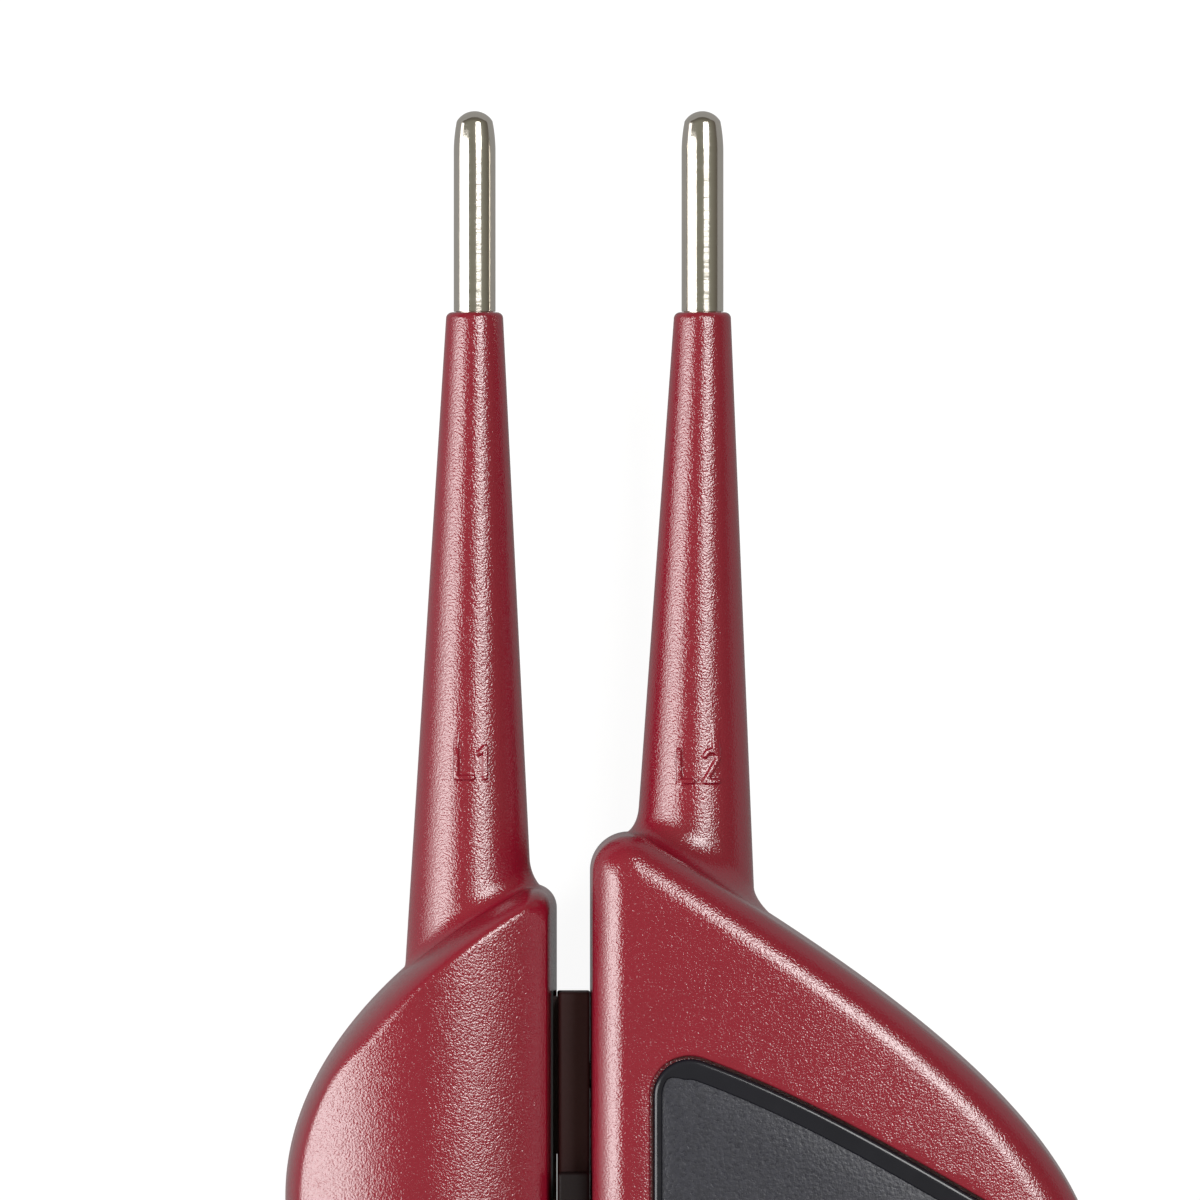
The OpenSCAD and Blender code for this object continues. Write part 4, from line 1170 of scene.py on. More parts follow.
@dataclass(frozen=True)
class Handle:
    """One handle: two moulded housings, neck, pin, gland, button and screws."""

    key: str
    body: Body
    button_body: Body
    plan: Plan
    front: Tray
    rear: Tray
    neck: Neck
    screws: tuple[tuple[float, float], ...]
    posts: tuple[tuple[float, float], ...]
    post_low: float
    button: tuple[float, float]
    gland_u: float
    cap_low: float
    gland_z: float = PIN_Z
    button_r: float = 5.5
    boss_r: float = 3.2
    post_r: float = 2.2
    pilot_r: float = 1.5
    post_pilot_r: float = 1.05
    screw_end: float = 19.5

    def rods(self, places: Sequence[Point], r: float, low: float, high: float,
             count: int = 32) -> list[Skin]:
        """Upright rods of one kind at places in (u, v)."""
        return [rod(r, low, high, self.plan.at(*p), count=count) for p in places]

    def front_blank(self, extra: Sequence[Skin]) -> Mesh:
        """Front shell joined with its neck and with bosses trimmed under the crown.

        Args:
            extra: More skins to join.

        Returns:
            The mesh before it is cut.
        """
        plan, front = self.plan, self.front
        mesh = mesh_from(self.key, [plan.shell(front)])
        mesh = carved(mesh, [self.neck.skin(plan, front)], Cut.JOIN)
        posts = self.rods(self.screws, self.boss_r, front.seam, front.top, 40)
        posts += self.rods(self.posts, self.post_r, self.post_low, front.top)
        trimmed = carved(mesh_from("posts", posts), [plan.core(front, 0.8)], Cut.SHARED)
        mesh = carved(mesh, [skin_of(trimmed)], Cut.JOIN)
        return carved(mesh, extra, Cut.JOIN) if extra else mesh

    def front_cuts(self) -> list[Skin]:
        """Bore, button hole, gland hole and pilot holes of the front shell."""
        plan, foot, low = self.plan, self.plan.foot, self.post_low
        play, rim, deep = 0.2, 0.35, 6.0
        gland_r, gland_deep = 4.1, 4.4
        hole = arc(self.button, self.button_r + play, 0, 360, 73)[:-1]
        return [self.neck.bore_cutter(plan),
                rim_cutter(plan, self.front, hole, self.front.top - deep, rim),
                *plan.moved(octagon(self.gland_u, self.gland_z, gland_r, foot - 1,
                                    foot + gland_deep)),
                *self.rods(self.screws, self.pilot_r, 7.0, self.screw_end + 1.0),
                *self.rods(self.posts, self.post_pilot_r, low - 1.0, low + 3.0, 24)]

    def rear_cuts(self) -> list[Skin]:
        """Ways of the housing screws with chamfered recesses for their heads."""
        mouth_r, head_r, shank_r = 3.05, 2.8, 1.65
        taper, seat, end = 0.25, 3.5, 9.0
        way = [(mouth_r, -1.0), (mouth_r, 0.0), (head_r, taper), (head_r, seat), (shank_r, seat),
               (shank_r, end)]
        return [turned(way, self.plan.at(*p), Axis.Z, 48) for p in self.screws]

    def make_housings(self, red: Material, front_joins: Sequence[Skin] = (),
                      front_cuts: Sequence[Sequence[Skin]] = (), rear_joins: Sequence[Skin] = (),
                      rear_cuts: Sequence[Sequence[Skin]] = ()) -> None:
        """Makes the front and the rear housing.

        Args:
            red: Their material.
            front_joins: Skins joined to the front.
            front_cuts: Lots of cutters for the front, after its own.
            rear_joins: Skins joined to the rear one by one.
            rear_cuts: Lots of cutters for the rear, before its own.
        """
        mesh = self.front_blank(front_joins)
        for skins in (self.front_cuts(), *front_cuts):
            mesh = carved(mesh, skins, Cut.OFF)
        piece(f"{self.key}_front_housing", mesh, self.body, [red],
              [f"{self.key}_front_shell"])
        mesh = mesh_from("rear", [self.plan.shell(self.rear)])
        bosses = self.rods(self.screws, self.boss_r, 1.9, self.rear.seam, 40)
        for skins in (bosses, *([s] for s in rear_joins)):
            mesh = carved(mesh, skins, Cut.JOIN)
        for skins in (*rear_cuts, self.rear_cuts()):
            mesh = carved(mesh, skins, Cut.OFF)
        piece(f"{self.key}_rear_housing", mesh, self.body, [red],
              [f"{self.key}_rear_shell"])

    def make_pin(self, metal: Material) -> None:
        """Makes the contact pin."""
        node = f"{self.key}_contact_pin"
        mesh = mesh_from(node, [Pin().skin(self.neck, self.plan)])
        piece(f"{self.key}_tip_pin", mesh, self.body, [metal], [node], 30.0)

    def make_button(self, plastic: Material) -> None:
        """Makes the push button: a cap with a rounded rim, a dished top and a retaining flange.

        Args:
            plastic: Its material.
        """
        r, low, face = self.button_r, self.cap_low, self.front.top + 1.0
        dish_r, dish = 25.0, 0.4
        rim = math.sqrt(dish_r**2 - (dish_r - dish) ** 2)
        bowl = [(x, face - dish + dish_r - math.sqrt(dish_r**2 - x * x))
                for x in np.linspace(1.0, 0.0, 14)[:-1] * rim]
        edge = min(0.5, r - rim - 0.02)
        start, end = low + 0.4, low + 1.8
        flange_r, cut = r + 0.8, 0.1
        profile = [(r, low), (r, start), (flange_r - cut, start), (flange_r, start + cut),
                   (flange_r, end - cut), (flange_r - cut, end), (r, end),
                   *arc((r - edge, face - edge), edge, 0, 90, 8), *bowl]
        node = f"{self.key}_button"
        mesh = mesh_from(node, [turned(profile, self.plan.at(*self.button), Axis.Z, 96)])
        piece(f"{self.key}_button_cap", mesh, self.button_body, [plastic], [node])

    def make_gland(self, rubber: Material) -> None:
        """Makes the cable inlet: a turned grommet with a rounded flange, a rib and a soft bore.

        Args:
            rubber: Its material.
        """
        foot, z, wall, draft, play = self.plan.foot, self.gland_z, 2.4, 0.25, 0.1
        bore, neck_r, rib, thick = 2.6, 3.95, 5.0, 2.5
        flange_edge, mouth_edge, cut = 1.2, 0.5, 0.6
        inside = wall + draft + play
        end = inside + thick
        profile = [(neck_r, -0.01), (rib, -0.01),
                   *arc((rib - flange_edge, flange_edge - thick), flange_edge, 0, -90, 8),
                   *arc((bore + mouth_edge, mouth_edge - thick), mouth_edge, -90, -180, 8),
                   (bore, end), (rib - cut, end), (rib, end - cut), (rib, inside),
                   (neck_r, inside)]
        middle = self.plan.at(self.gland_u, foot, z)
        node = f"{self.key}_cable_gland"
        mesh = mesh_from(node, [turned(profile, middle, Axis.Y, 64, Ends.RING)])
        octagon_r, overlap = 4.0, 0.3
        neck = octagon(self.gland_u, z, octagon_r, foot - overlap, foot + inside + overlap)
        mesh = carved(mesh, self.plan.moved(neck), Cut.JOIN)
        mesh = carved(mesh, [rod(bore, -0.8, inside + 1.0, middle, Axis.Y, 64)], Cut.OFF)
        piece(f"{self.key}_cable_inlet", mesh, self.body, [rubber], [node])

    def make_screws(self, metal: Material) -> None:
        """Makes the housing screws with their cross recesses.

        Args:
            metal: Their material.
        """
        heads = [self.plan.at(*p, 1.5) for p in self.screws]
        node = f"{self.key}_housing_screws"
        mesh = mesh_from(node, [screw_skin(c, 2.5, 1.45, self.screw_end) for c in heads])
        mesh = carved(mesh, [cross_cutter(c) for c in heads], Cut.OFF)
        piece(f"{self.key}_case_screws", mesh, self.body, [metal], [node])


@dataclass(frozen=True)
class Display:
    """Window of the main handle with its level lamps and their plain numbers."""

    handle: Handle
    left: float = 6.0
    foot: float = -64.2
    foot_right: float = 30.1
    corner_r: float = 3.5
    knee: tuple[float, float] = (37.5, 10.3)
    knee_r: float = 5.0
    start: tuple[float, float] = (9.5, 26.3)
    margin: float = 6.2
    low: float = 34.2
    gap: float = 0.3
    recess: float = 0.1
    lamps: int = 7
    pitch: float = 8.5
    lamp_u: float = 15.0
    lamp_v: float = 3.7
    lamp_r: float = 1.5
    lamp_play: float = 0.2

    def loop(self) -> Array:
        """Outline of the window, counter-clockwise in (u, v), in 720 equal steps.

        The top edge is a cubic curve between the start corner and the knee, and the right side
        keeps its margin to the handle's outer side.

        Returns:
            The loop.
        """
        r, low = self.corner_r, self.foot + self.corner_r
        side = self.handle.plan.outer
        side = side[(side[:, 1] > low + 0.5) & (side[:, 1] < self.handle.plan.guard)]
        knee = arc(self.knee, self.knee_r, 0, 60, 20)
        corner = arc(self.start, r, 70, 180, 24)
        pull = 11.0
        bends = [np.radians(60.0), np.radians(70.0)]
        ways = [np.array([math.sin(b), -math.cos(b)]) for b in bends]
        top = cubic([knee[-1], knee[-1] - pull * ways[0], corner[0] + pull * ways[1], corner[0]],
                    np.linspace(0, 1, 60))[1:-1]
        path = np.concatenate([arc((self.left + r, low), r, 180, 270, 16),
                               arc((self.foot_right - r, low), r, 270, 360, 16),
                               side - (self.margin, 0.0), knee, top, corner])
        path = np.concatenate([path, path[:1]])
        along = np.concatenate([[0.0], np.cumsum(np.linalg.norm(np.diff(path, axis=0), axis=1))])
        t = np.linspace(0.0, along[-1], 720, endpoint=False)
        return np.column_stack([np.interp(t, along, path[:, k]) for k in (0, 1)])

    def pocket(self) -> Skin:
        """Cutter of the window's pocket."""
        h, loop = self.handle, self.loop()
        return rim_cutter(h.plan, h.front, loop - inward(loop) * self.gap, self.low, 0.25)

    def pocket_floor(self) -> Skin:
        """Plate that closes the pocket from inside."""
        plate = stacked(self.loop(), [(1.5, self.low - 1.2), (1.5, self.low + 0.2)])
        return self.handle.plan.moved(plate)[0]

    def lamp_places(self) -> list[tuple[float, float]]:
        """Middles of the lamps in (u, v)."""
        return [(self.lamp_u, self.lamp_v - i * self.pitch) for i in range(self.lamps)]

    def lamp_holes(self, low: float, high: float) -> list[Skin]:
        """Cutters of the lamps' holes between two heights."""
        return self.handle.rods(self.lamp_places(), self.lamp_r + self.lamp_play, low, high, 40)

    def make_window(self, face: Material, border: Material) -> None:
        """Makes the window: a rounded rim, a polished border that slopes in, a textured face.

        The border is coloured darker than the face as a painted dark reflection. Its width grows
        from
        0.3 to 1.4 mm with how far its edge faces the shoulder, and the inner loops shrink straight
        to the middle under the handle's crown.

        Args:
            face: Material of the textured face.
            border: Material of the border, whose darker colour is a painted reflection.
        """
        h, loop = self.handle, self.loop()
        n = inward(loop)
        shoulder, middle = np.array([0.47, 0.88]), np.array([24.0, -12.0])
        least, more, rim = 0.3, 1.1, 0.45
        slope, ledge, face_drop, soft = 0.14, 0.12, 0.2, 0.12
        # The border, and with it the painted dark reflection, is widest where the edge faces the
        # shoulder.
        high = np.clip(-(n @ shoulder), 0.0, 1.0)
        width = least + more * smooth(0.1, 0.8, high)
        rows, tints = [np.column_stack([loop, np.full(len(loop), self.low)])], []

        def row(p: Array, drop: float, tint: int) -> None:
            """Adds one ring at the depth drop under the crown."""
            z = h.plan.crown(h.front, p[:, 0], p[:, 1]) - drop
            rows.append(np.column_stack([p, z]))
            tints.append(tint)

        for a in np.radians(np.linspace(0, 90, 7)):
            row(loop + n * rim * (1 - math.cos(a)), self.recess + rim * (1 - math.sin(a)), 1)
        inner = loop + n * (rim + width[:, None])
        for t in (0.15, 0.6, 1.0):
            row(mix(loop + n * rim, inner, t), self.recess + slope * t, 1)
        inner = inner + n * ledge
        row(inner, self.recess + (slope + face_drop), 1)
        for t in np.concatenate([np.linspace(0.0, soft, 7)[1:], np.linspace(soft, 0.9, 9)[1:]]):
            rise = slope * (1.0 - min(t / soft, 1.0)) ** 2
            row(mix(inner, middle, t), self.recess + face_drop + rise, 0)
        skin = loft(h.plan.placed(np.stack(rows)))
        skin.tints = np.repeat([1, *tints, 0], len(loop))
        mesh = mesh_from("window", [skin])
        for finish in (face, border):
            mesh.materials.append(finish)
        mesh = carved(mesh, self.lamp_holes(self.low - 1.0, h.front.top + 2.0), Cut.OFF)
        piece("display_window", mesh, h.body, [], ["display_panel"], 30.0)

    def make_lamps(self, lens: Material) -> None:
        """Makes the light pipes: a flange, a plain stretch and a shallow domed end.

        Args:
            lens: Their material.
        """
        r, end, dome = self.lamp_r, 36.2, 0.3
        flange_r, low, step = 2.0, 30.2, 32.8
        a = np.radians(np.linspace(0, 90, 9))
        cap = [(r * math.cos(b), end - dome + dome * math.sin(b)) for b in a]
        profile = [(flange_r, low), (flange_r, step), (r, step), *cap[:-1], (0.0, end)]
        skins = [turned(profile, self.handle.plan.at(*p), Axis.Z, 40) for p in self.lamp_places()]
        piece("lamp_lenses", mesh_from("lamps", skins), self.handle.body, [lens],
              ["indicator_lamps"], 30.0)

    def make_numbers(self, ink: Material) -> None:
        """Makes the plain numbers beside the lamps, as thin ink on the face.

        Args:
            ink: Their material.
        """
        words = ["690", "400", "230", "120", "50", "24", "12"]
        h, mesh = self.handle, bpy.data.meshes.new("numbers")
        with edited(mesh) as merged:
            for word, (u, v) in zip(words, self.lamp_places()):
                curve = bpy.data.curves.new("number", "FONT")
                curve.body, curve.size, curve.extrude = word, 4.2 * MM, 0.03 * MM
                curve.align_y, curve.resolution_u = "CENTER", 4
                shown = added("number", curve)
                flat = evaluated(shown)
                z = float(h.plan.crown(h.front, np.array(u + 6.0), np.array(v)))
                place = h.plan.at(u + 3.4, v, z - self.recess - 0.19)
                flat.transform(Matrix.Translation(Vector(place) * MM))
                merged.from_mesh(flat)
                bpy.data.objects.remove(shown)
                bpy.data.curves.remove(curve)
                bpy.data.meshes.remove(flat)
            bmesh.ops.remove_doubles(merged, verts=merged.verts, dist=1e-7)
            bmesh.ops.recalc_face_normals(merged, faces=merged.faces)
        piece("level_numbers", mesh, h.body, [ink])


@dataclass(frozen=True)
class DockingRail:
    """Rail on the main handle's docking wall: strip, high block and two T-shaped hooks."""

    handle: Handle
    thick: float = 3.0
    fin: float = 0.13
    foot: float = -47.5
    top: float = 36.0
    block_top: float = 18.9
    strip_z: tuple[float, float] = (8.0, 22.0)
    block_z: tuple[float, float] = (15.0, 28.0)
    hooks: tuple[float, float] = (20.5, -23.5)
    hook_l: float = 15.0
    reach: float = 7.2
    head_t: float = 1.8
    head_half: float = 4.3
    web_half: float = 2.7
    edge: float = 0.35

    def rods(self, r: float, low: float, high: float) -> list[Skin]:
        """Rods across the docking wall, on the axes of the rail's screws."""
        return [rod(r, low, high, (self.handle.plan.wall_x, v + self.hook_l / 2, PIN_Z), Axis.X)
                for v in self.hooks]

    def make(self, plastic: Material, block_plastic: Material) -> None:
        """Makes the rail from round-edged bars and cuts the bores of its screws.

        Args:
            plastic: Material of the strip and the hooks, lightened as painted light for their
                shade.
            block_plastic: Material of the high block, darkened as painted shade for its full light.
        """
        foot, low = self.foot, self.strip_z[0]
        bars = [[rounded_bar((-self.thick - more, foot, z0), (0.0, top, z1), r)]
                for more, top, (z0, z1), r in ((0.0, self.top, self.strip_z, self.edge),
                                               (0.0, self.block_top, self.block_z, self.edge),
                                               (self.fin, self.top, (low, low + 1.6), 0.2))]
        bars += [[rounded_bar((u0, v, PIN_Z - half), (u1, v + self.hook_l, PIN_Z + half), 0.3, 3)
                  for v in self.hooks]
                 for u0, u1, half in ((-self.reach + 0.6, -self.thick + 0.8, self.web_half),
                                      (-self.reach, -self.reach + self.head_t, self.head_half))]
        strip, *others = [self.handle.plan.moved(*skins) for skins in bars]
        mesh = mesh_from("rail", strip)
        for skins in others:
            mesh = carved(mesh, skins, Cut.JOIN)
        mesh = carved(mesh, self.rods(1.25, -self.reach + 1.5, 1.0), Cut.OFF)
        mesh.materials.clear()
        for finish in (plastic, block_plastic):
            mesh.materials.append(finish)
        # The high block's faces take the second material, darkened as painted shade.
        high = read(mesh.polygons, "center")[:, 2] > (self.strip_z[1] + 0.02) * MM
        mesh.polygons.foreach_set("material_index", high.astype(np.int32))
        piece("rail_strip", mesh, self.handle.body, [], ["docking_rail"])


@dataclass(frozen=True)
class BatteryBay:
    """Battery bay in the main handle's back, closed by a screwed cover."""

    handle: Handle
    low: tuple[float, float] = (7.35, -98.7)
    high: tuple[float, float] = (28.95, -50.5)
    top: float = 13.5
    wall: float = 1.4
    cover_low: tuple[float, float] = (6.55, -99.5)
    cover_high: tuple[float, float] = (29.75, -42.8)
    cover_t: float = 1.9
    screw: tuple[float, float] = (18.15, -46.5)
    play: float = 0.2
    corner: float = 0.6
    end_gap: float = 4.0
    rib_in: float = 2.0
    rib_half: float = 0.75
    grooves: int = 5
    groove_half: float = 6.0
    groove_w: float = 0.8
    groove_pitch: float = 2.0

    def housing_cuts(self) -> list[list[Skin]]:
        """Cutters of the cover's recess, then of the bay and of the screw's pilot hole.

        Returns:
            Lots of cutters, in the order of their cuts.
        """
        plan = self.handle.plan
        bay = stacked(rounded_rectangle(self.low, self.high, 0.4), [(0.0, -1.0), (0.0, self.top)])
        low = [c - self.play for c in self.cover_low]
        high = [c + self.play for c in self.cover_high]
        recess = stacked(rounded_rectangle(low, high, self.corner),
                         [(0.2, -1.0), (0.2, 0.0), (0.0, 0.2), (0.0, self.cover_t)])
        pilot = rod(1.5, 0.0, 9.0, plan.at(*self.screw))
        return [plan.moved(recess), [*plan.moved(bay), pilot]]

    def housing_joins(self) -> list[Skin]:
        """Box of the bay and boss of the cover's screw."""
        plan, w = self.handle.plan, self.wall
        box = rounded_rectangle([c - w for c in self.low], [c + w for c in self.high], 1.0)
        return [*plan.moved(stacked(box, [(0.0, 1.9), (0.0, self.top + w)])),
                rod(3.2, 1.9, 10.0, plan.at(*self.screw), count=40)]

    def make_cover(self, plastic: Material, metal: Material) -> None:
        """Makes the cover with its ribs and finger grooves, and its countersunk screw.

        Args:
            plastic: Material of the cover.
            metal: Material of the screw.
        """
        h, plan, (u, v), t = self.handle, self.handle.plan, self.screw, self.cover_t
        start, end = self.low[1] + self.end_gap, self.high[1] - self.end_gap
        plate = stacked(rounded_rectangle(self.cover_low, self.cover_high, self.corner),
                        [(-0.4, 0.0), (-0.2, 0.0), (-0.06, 0.06), (0.0, 0.2), (0.0, t)])
        ribs = [rounded_bar((x - self.rib_half, start, t - 0.4),
                            (x + self.rib_half, end, t + 0.8), 0.2, 3)
                for x in (self.low[0] + self.rib_in, self.high[0] - self.rib_in)]
        mesh = carved(mesh_from("cover", plan.moved(plate)), plan.moved(*ribs), Cut.JOIN)
        lines = [start + self.groove_pitch * i for i in range(self.grooves)]
        grooves = [rounded_bar((u - self.groove_half, line, -0.5),
                               (u + self.groove_half, line + self.groove_w, 0.5), 0.35, 5)
                   for line in lines]
        mouth_r, head_r, shank_r = 2.8, 2.7, 1.65
        sink = turned([(mouth_r, -1.0), (mouth_r, 0.0), (head_r, 0.06), (shank_r, 1.5),
                       (shank_r, 3.0)], plan.at(u, v), Axis.Z, 48)
        mesh = carved(mesh, [*plan.moved(*grooves), sink], Cut.OFF)
        piece("bay_cover", mesh, h.body, [plastic], ["battery_cover"])
        head = plan.at(u, v, 0.05)
        mesh = mesh_from("cover_screw", [screw_skin(head, 2.5, 1.45, 9.0, 1.3)])
        mesh = carved(mesh, [cross_cutter(head)], Cut.OFF)
        piece("bay_cover_screw", mesh, h.body, [metal], ["battery_cover_screw"])


@dataclass(frozen=True)
class Studio:
    """White table, two soft boxes, a dim ceiling and a far camera straight above."""

    eye: tuple[float, float, float] = (-8.81, 73.33, 3022.0)
    lens: float = 945.0
    sensor: float = 36.0
    aim: tuple[float, float, float] = (-9.0, 60.0, 15.0)
    distance: float = 1.2
    clip: tuple[float, float] = (0.5, 20.0)
    glow: float = 0.94
    mirrored_glow: float = 0.23

    def make_camera(self) -> None:
        """Adds the camera: far off and narrow, so that it sees the tester nearly in plan."""
        data = bpy.data.cameras.new("camera")
        data.lens, data.sensor_width = self.lens, self.sensor
        data.clip_start, data.clip_end = self.clip
        camera = added("camera", data)
        camera.location = Vector(self.eye) * MM
        bpy.context.scene.camera = camera

    def make_lamp(self, name: str, angles: tuple[float, float], along: tuple[float, float],
                  radiance: float) -> None:
        """Adds a soft box that fills the angles from the vertical, towards +X when positive.

        Its width is twice the distance times the tangent of half the angle that it fills, and its
        power is pi times its area times its radiance.

        Args:
            name: Name of the lamp.
            angles: First and last angle in degrees.
            along: Lowest and highest place along Y from the point aimed at, in metres.
            radiance: Brightness of its face.
        """
        first, last = np.radians(angles)
        tilt, half = (first + last) / 2, abs(last - first) / 2
        data = bpy.data.lights.new(name, "AREA")
        data.shape = "RECTANGLE"
        data.size, data.size_y = 2 * self.distance * math.tan(half), along[1] - along[0]
        data.energy = math.pi * data.size * data.size_y * radiance
        lamp = added(name, data)
        lamp.location = Vector(self.aim) * MM + Vector(
            (math.sin(tilt) * self.distance, sum(along) / 2, math.cos(tilt) * self.distance))
        lamp.rotation_euler = (0.0, tilt, 0.0)
        lamp.visible_camera = False

    def make_world(self) -> None:
        """Adds the room: warm grey walls and a slightly paler ceiling."""
        world = bpy.data.worlds.new("room")
        bpy.context.scene.world = world
        tree = empty_tree(world)
        way = add_node(tree, "TexCoord").outputs["Generated"]
        up = add_node(tree, "SeparateXYZ", {"Vector": way}).outputs["Z"]
        shade = add_node(tree, "ValToRGB", {"Fac": up})
        low, high = shade.color_ramp.elements
        low.position, low.color = 0.0, linear("#625c55")
        high.position, high.color = 0.7, linear("#89887c")
        back = add_node(tree, "Background", {"Color": shade, "Strength": 1.0})
        add_node(tree, "OutputWorld", {"Surface": back})

    def make_floor(self) -> None:
        """Adds the table: a pale sheet that keeps shadows and adds light only to what is seen."""
        half, low = 6.0, -0.02 * MM
        mesh = bpy.data.meshes.new("table_top")
        mesh.from_pydata([(-half, -half, low), (half, -half, low), (half, half, low),
                          (-half, half, low)], [], [(0, 1, 2, 3)])
        made = bpy.data.materials.new("paper_coated_white")
        tree = empty_tree(made)
        path = add_node(tree, "LightPath").outputs
        mirrored = add_node(tree, "Math", {0: path["Is Glossy Ray"],
                                           1: path["Is Transmission Ray"]},
                            operation="ADD", use_clamp=True)
        faint = add_node(tree, "Math", {0: mirrored, 1: self.mirrored_glow}, operation="MULTIPLY")
        glow = add_node(tree, "Math", {0: path["Is Camera Ray"], 1: self.glow, 2: faint},
                        operation="MULTIPLY_ADD")
        fibre = add_noise(tree, add_node(tree, "TexCoord").outputs["Object"], 1.5, 3.0)
        tone = add_range(tree, fibre, (0.0, 1.0), (0.11, 0.14))
        paper = add_node(tree, "BsdfDiffuse", {"Color": tone})
        light = add_node(tree, "Emission", {"Strength": glow})
        add_node(tree, "OutputMaterial",
                 {"Surface": add_node(tree, "AddShader", {0: paper, 1: light})})
        mesh.materials.append(made)
        table = added("table_top", mesh)

    def make(self) -> None:
        """Makes the whole studio."""
        self.make_camera()
        self.make_lamp("left_soft_box", angles=(-36.0, -72.0), along=(-0.38, 0.26), radiance=6.2)
        self.make_lamp("left_wall_box", angles=(-72.0, -96.0), along=(-1.0, 0.5), radiance=2.1)
        self.make_lamp("right_soft_box", angles=(9.0, 35.0), along=(0.1, 0.84), radiance=8.8)
        self.make_world()
        self.make_floor()
        bpy.context.scene.view_settings.view_transform = "Standard"


# ---- The tester ---------------------------------------------------------------------------------


MAIN_TRAY = Tray(seam=8.0, base=31.5, top=36.0, r_in=3.2, r_out=3.9, bow=0.0022, bow_in=0.0022,
                 d_in=0.25, d_out=0.25)
SECOND_TRAY = Tray(seam=8.0, base=21.0, top=30.0, r_in=0.5, r_out=2.8, bow=0.0217, bow_in=0.031,
                   d_in=0.55, d_out=0.25, swell=1.3, side_r=0.55, fill_rows=12)
REAR_TRAY = Tray(seam=8.0, base=5.0, top=0.0, r_in=5.0, r_out=5.0, bow=0.0, bow_in=0.0,
                 d_in=0.25, d_out=0.25, wall_rows=4, round_rows=10, fill_rows=3)

L1_MARK = Mark((((-22.5, 59.3), (-22.5, 56.4), (-20.95, 56.4)),
                ((-20.28, 58.75), (-19.8, 59.3), (-19.8, 56.4))))
L2_MARK = Mark((((-1.26, 58.95), (-1.26, 56.05), (0.02, 56.05)),
                tuple(map(tuple, np.concatenate([arc((1.8, 58.36), 0.6, 165, -35, 12),
                                                 [(1.2, 56.05), (2.42, 56.05)]])))))

MAIN = Handle(
    key="main", body=Body.MAIN, button_body=Body.MAIN_BUTTON,
    plan=Plan(width=48.7, grip=36.3, top=51.2, foot=-117.5, guard=7.7, corner_r=3.7,
              brow_angle=58.0, brow_pull=17.0, guard_pull=17.4, heel_r=12.0, toe_r=5.0,
              sweep_l=46.0, wall_x=-9.775, side=1.0),
    front=MAIN_TRAY, rear=REAR_TRAY,
    neck=Neck(u=10.75, lean=0.9, mark=L2_MARK, fillet=Fillet(
        outer=(2.4, 1.6), front=(2.8, 3.4), gap=(1.3, 2.6), back=(0.6, 0.8))),
    screws=((37.2, 10.7), (8.0, 27.2), (8.0, -108.5), (27.0, -108.5)),
    posts=((31.7, -1.3), (29.3, -68.2)), post_low=28.6,
    button=(18.15, -72.7), gland_u=14.65, cap_low=31.45)
SECOND = Handle(
    key="second", body=Body.SECOND, button_body=Body.SECOND_BUTTON,
    plan=Plan(width=26.0, grip=19.0, top=46.2, foot=-113.5, guard=16.3, corner_r=2.3,
              brow_angle=63.0, brow_pull=10.0, guard_pull=14.5, heel_r=5.0, toe_r=4.0,
              sweep_l=40.0, wall_x=-12.925, side=-1.0, crest=0.43),
    front=SECOND_TRAY, rear=REAR_TRAY,
    neck=Neck(u=7.85, lean=-0.4, mark=L1_MARK, fillet=Fillet(
        outer=(0.5, 0.6), front=(1.3, 2.3), gap=(1.5, 2.7), back=(0.5, 0.6))),
    screws=((19.0, 17.3), (11.0, -45.7), (9.5, -95.5)),
    posts=((18.5, 7.3), (11.0, -27.7)), post_low=20.2,
    button=(11.0, -0.7), gland_u=9.0, cap_low=23.05)

# Lowest and highest corners of the bars that cut the docking channel into the second front shell.
CHANNEL_BARS = (((0.62, -41.1, 9.3), (5.45, 37.1, 20.7)), ((-1.0, -41.1, 9.3), (2.0, 36.05, 20.7)))

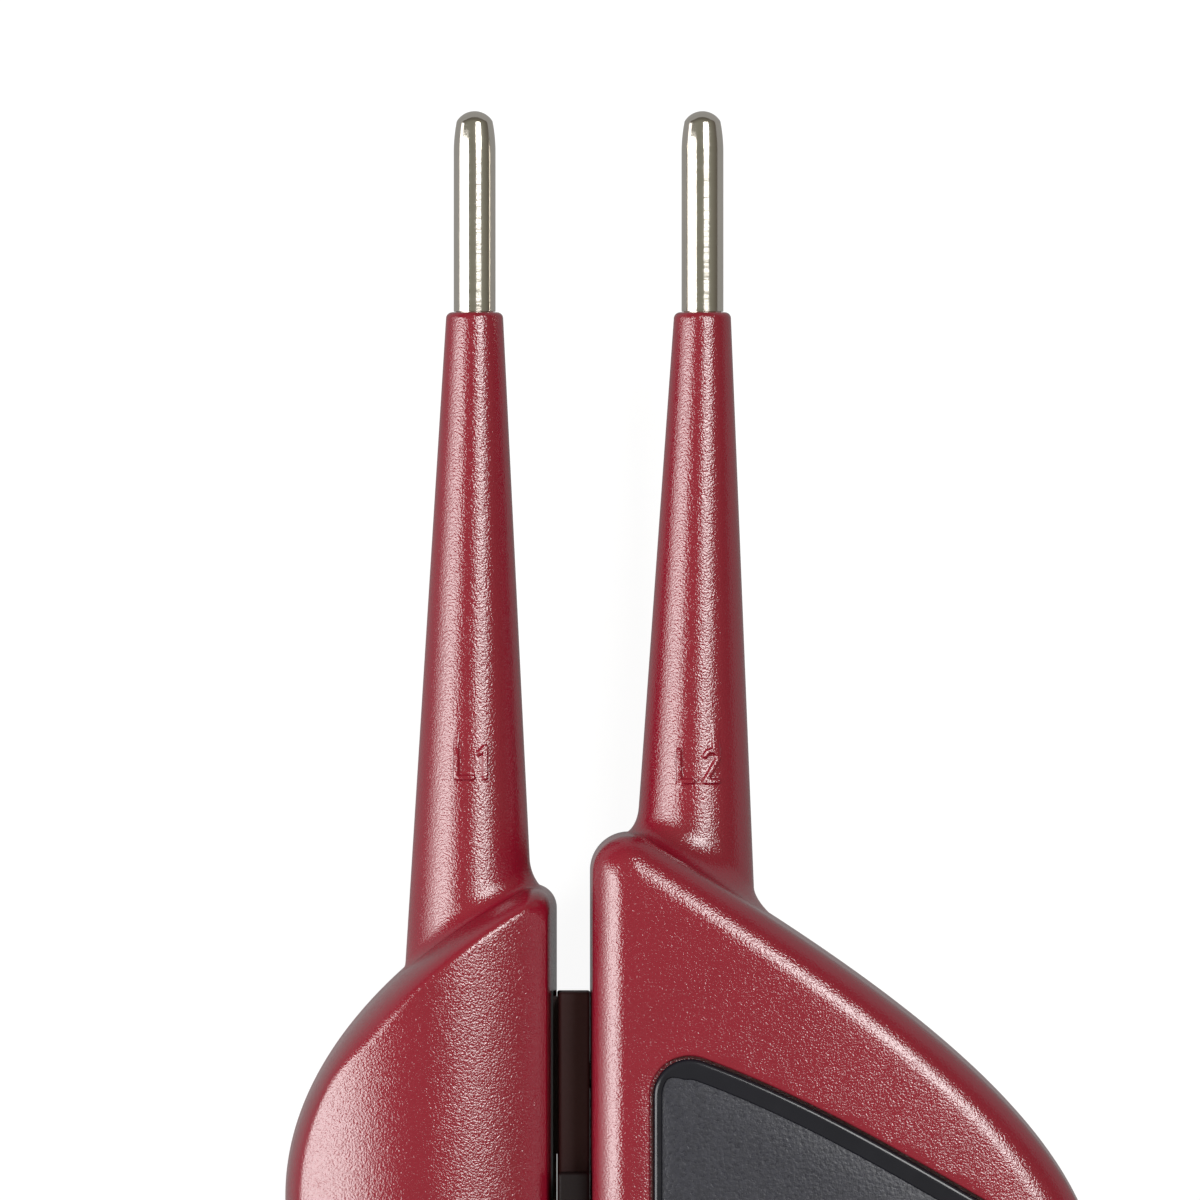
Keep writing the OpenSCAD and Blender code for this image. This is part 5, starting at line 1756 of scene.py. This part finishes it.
# Inner nodes keep their shapes and get the finish of the real piece.
INNER = {
    "indicator_leds": DIODE, "main_circuit_board": BOARD, "second_circuit_board": BOARD,
    "board_screws": ZINC, "second_board_screws": ZINC, "rail_screws": ZINC, "buzzer": BLACK,
    "main_resistors": RESISTOR, "second_resistors": RESISTOR, "main_pin_lead": COPPER,
    "second_pin_lead": COPPER, "main_switch_plunger": PLUNGER, "second_switch_plunger": PLUNGER,
    "main_switch_body": BLACK, "second_switch_body": BLACK, "battery_cells": CELL,
    "battery_contacts": SPRING,
}


def make_channel(plastic: Material) -> None:
    """Makes the docking channel: the frame's solid with its edges broken by a small bevel.

    Args:
        plastic: Its material.
    """
    lip = rounded_bar((-1.0, 36.0, 9.0), (0.64, 38.0, 21.0), 0.1, 3)
    mesh = carved(node_copy("docking_channel"), SECOND.plan.moved(lip), Cut.OFF)
    made = piece("hook_channel", mesh, Body.SECOND, [plastic],
                 ["docking_channel"])
    soften = made.modifiers.new("edges", "BEVEL")
    soften.width, soften.segments, soften.limit_method = 0.15 * MM, 2, "ANGLE"


def main() -> None:
    """Builds the tester's visible pieces in order, then the studio."""
    logging.basicConfig(level=logging.INFO, format="%(message)s", force=True)
    made = {f: f.build() for f in (
        RED_HOUSING, NICKEL, PANEL_FACE, PANEL_EDGE_PAINTED_REFLECTION, RAIL_PAINTED_LIGHT, BLOCK_PAINTED_SHADE, BLACK, RUBBER, ZINC, SPRING,
        COPPER, LENS, DIODE, BOARD, RESISTOR, PLUNGER, CELL, INK)}
    red = made[RED_HOUSING]
    display, bay, rail = Display(MAIN), BatteryBay(MAIN), DockingRail(MAIN)
    floor_holes = display.lamp_holes(display.low - 2.2, display.low + 0.1)
    MAIN.make_housings(red, [display.pocket_floor()],
                       [[display.pocket()], floor_holes + rail.rods(1.3, -0.5, 4.0)],
                       bay.housing_joins(), bay.housing_cuts())
    SECOND.make_housings(red, front_cuts=[
        SECOND.plan.moved(rounded_bar(low, high, 0.1, 3)) for low, high in CHANNEL_BARS])
    display.make_window(made[PANEL_FACE], made[PANEL_EDGE_PAINTED_REFLECTION])
    display.make_lamps(made[LENS])
    display.make_numbers(made[INK])
    for handle in (MAIN, SECOND):
        handle.make_pin(made[NICKEL])
        handle.make_button(made[BLACK])
        handle.make_gland(made[RUBBER])
        handle.make_screws(made[ZINC])
    rail.make(made[RAIL_PAINTED_LIGHT], made[BLOCK_PAINTED_SHADE])
    make_channel(made[BLACK])
    bay.make_cover(red, made[ZINC])
    for node, finish in INNER.items():
        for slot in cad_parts[node].material_slots:
            slot.material = made[finish]
    Studio().make()


if __name__ == "__main__":
    main()
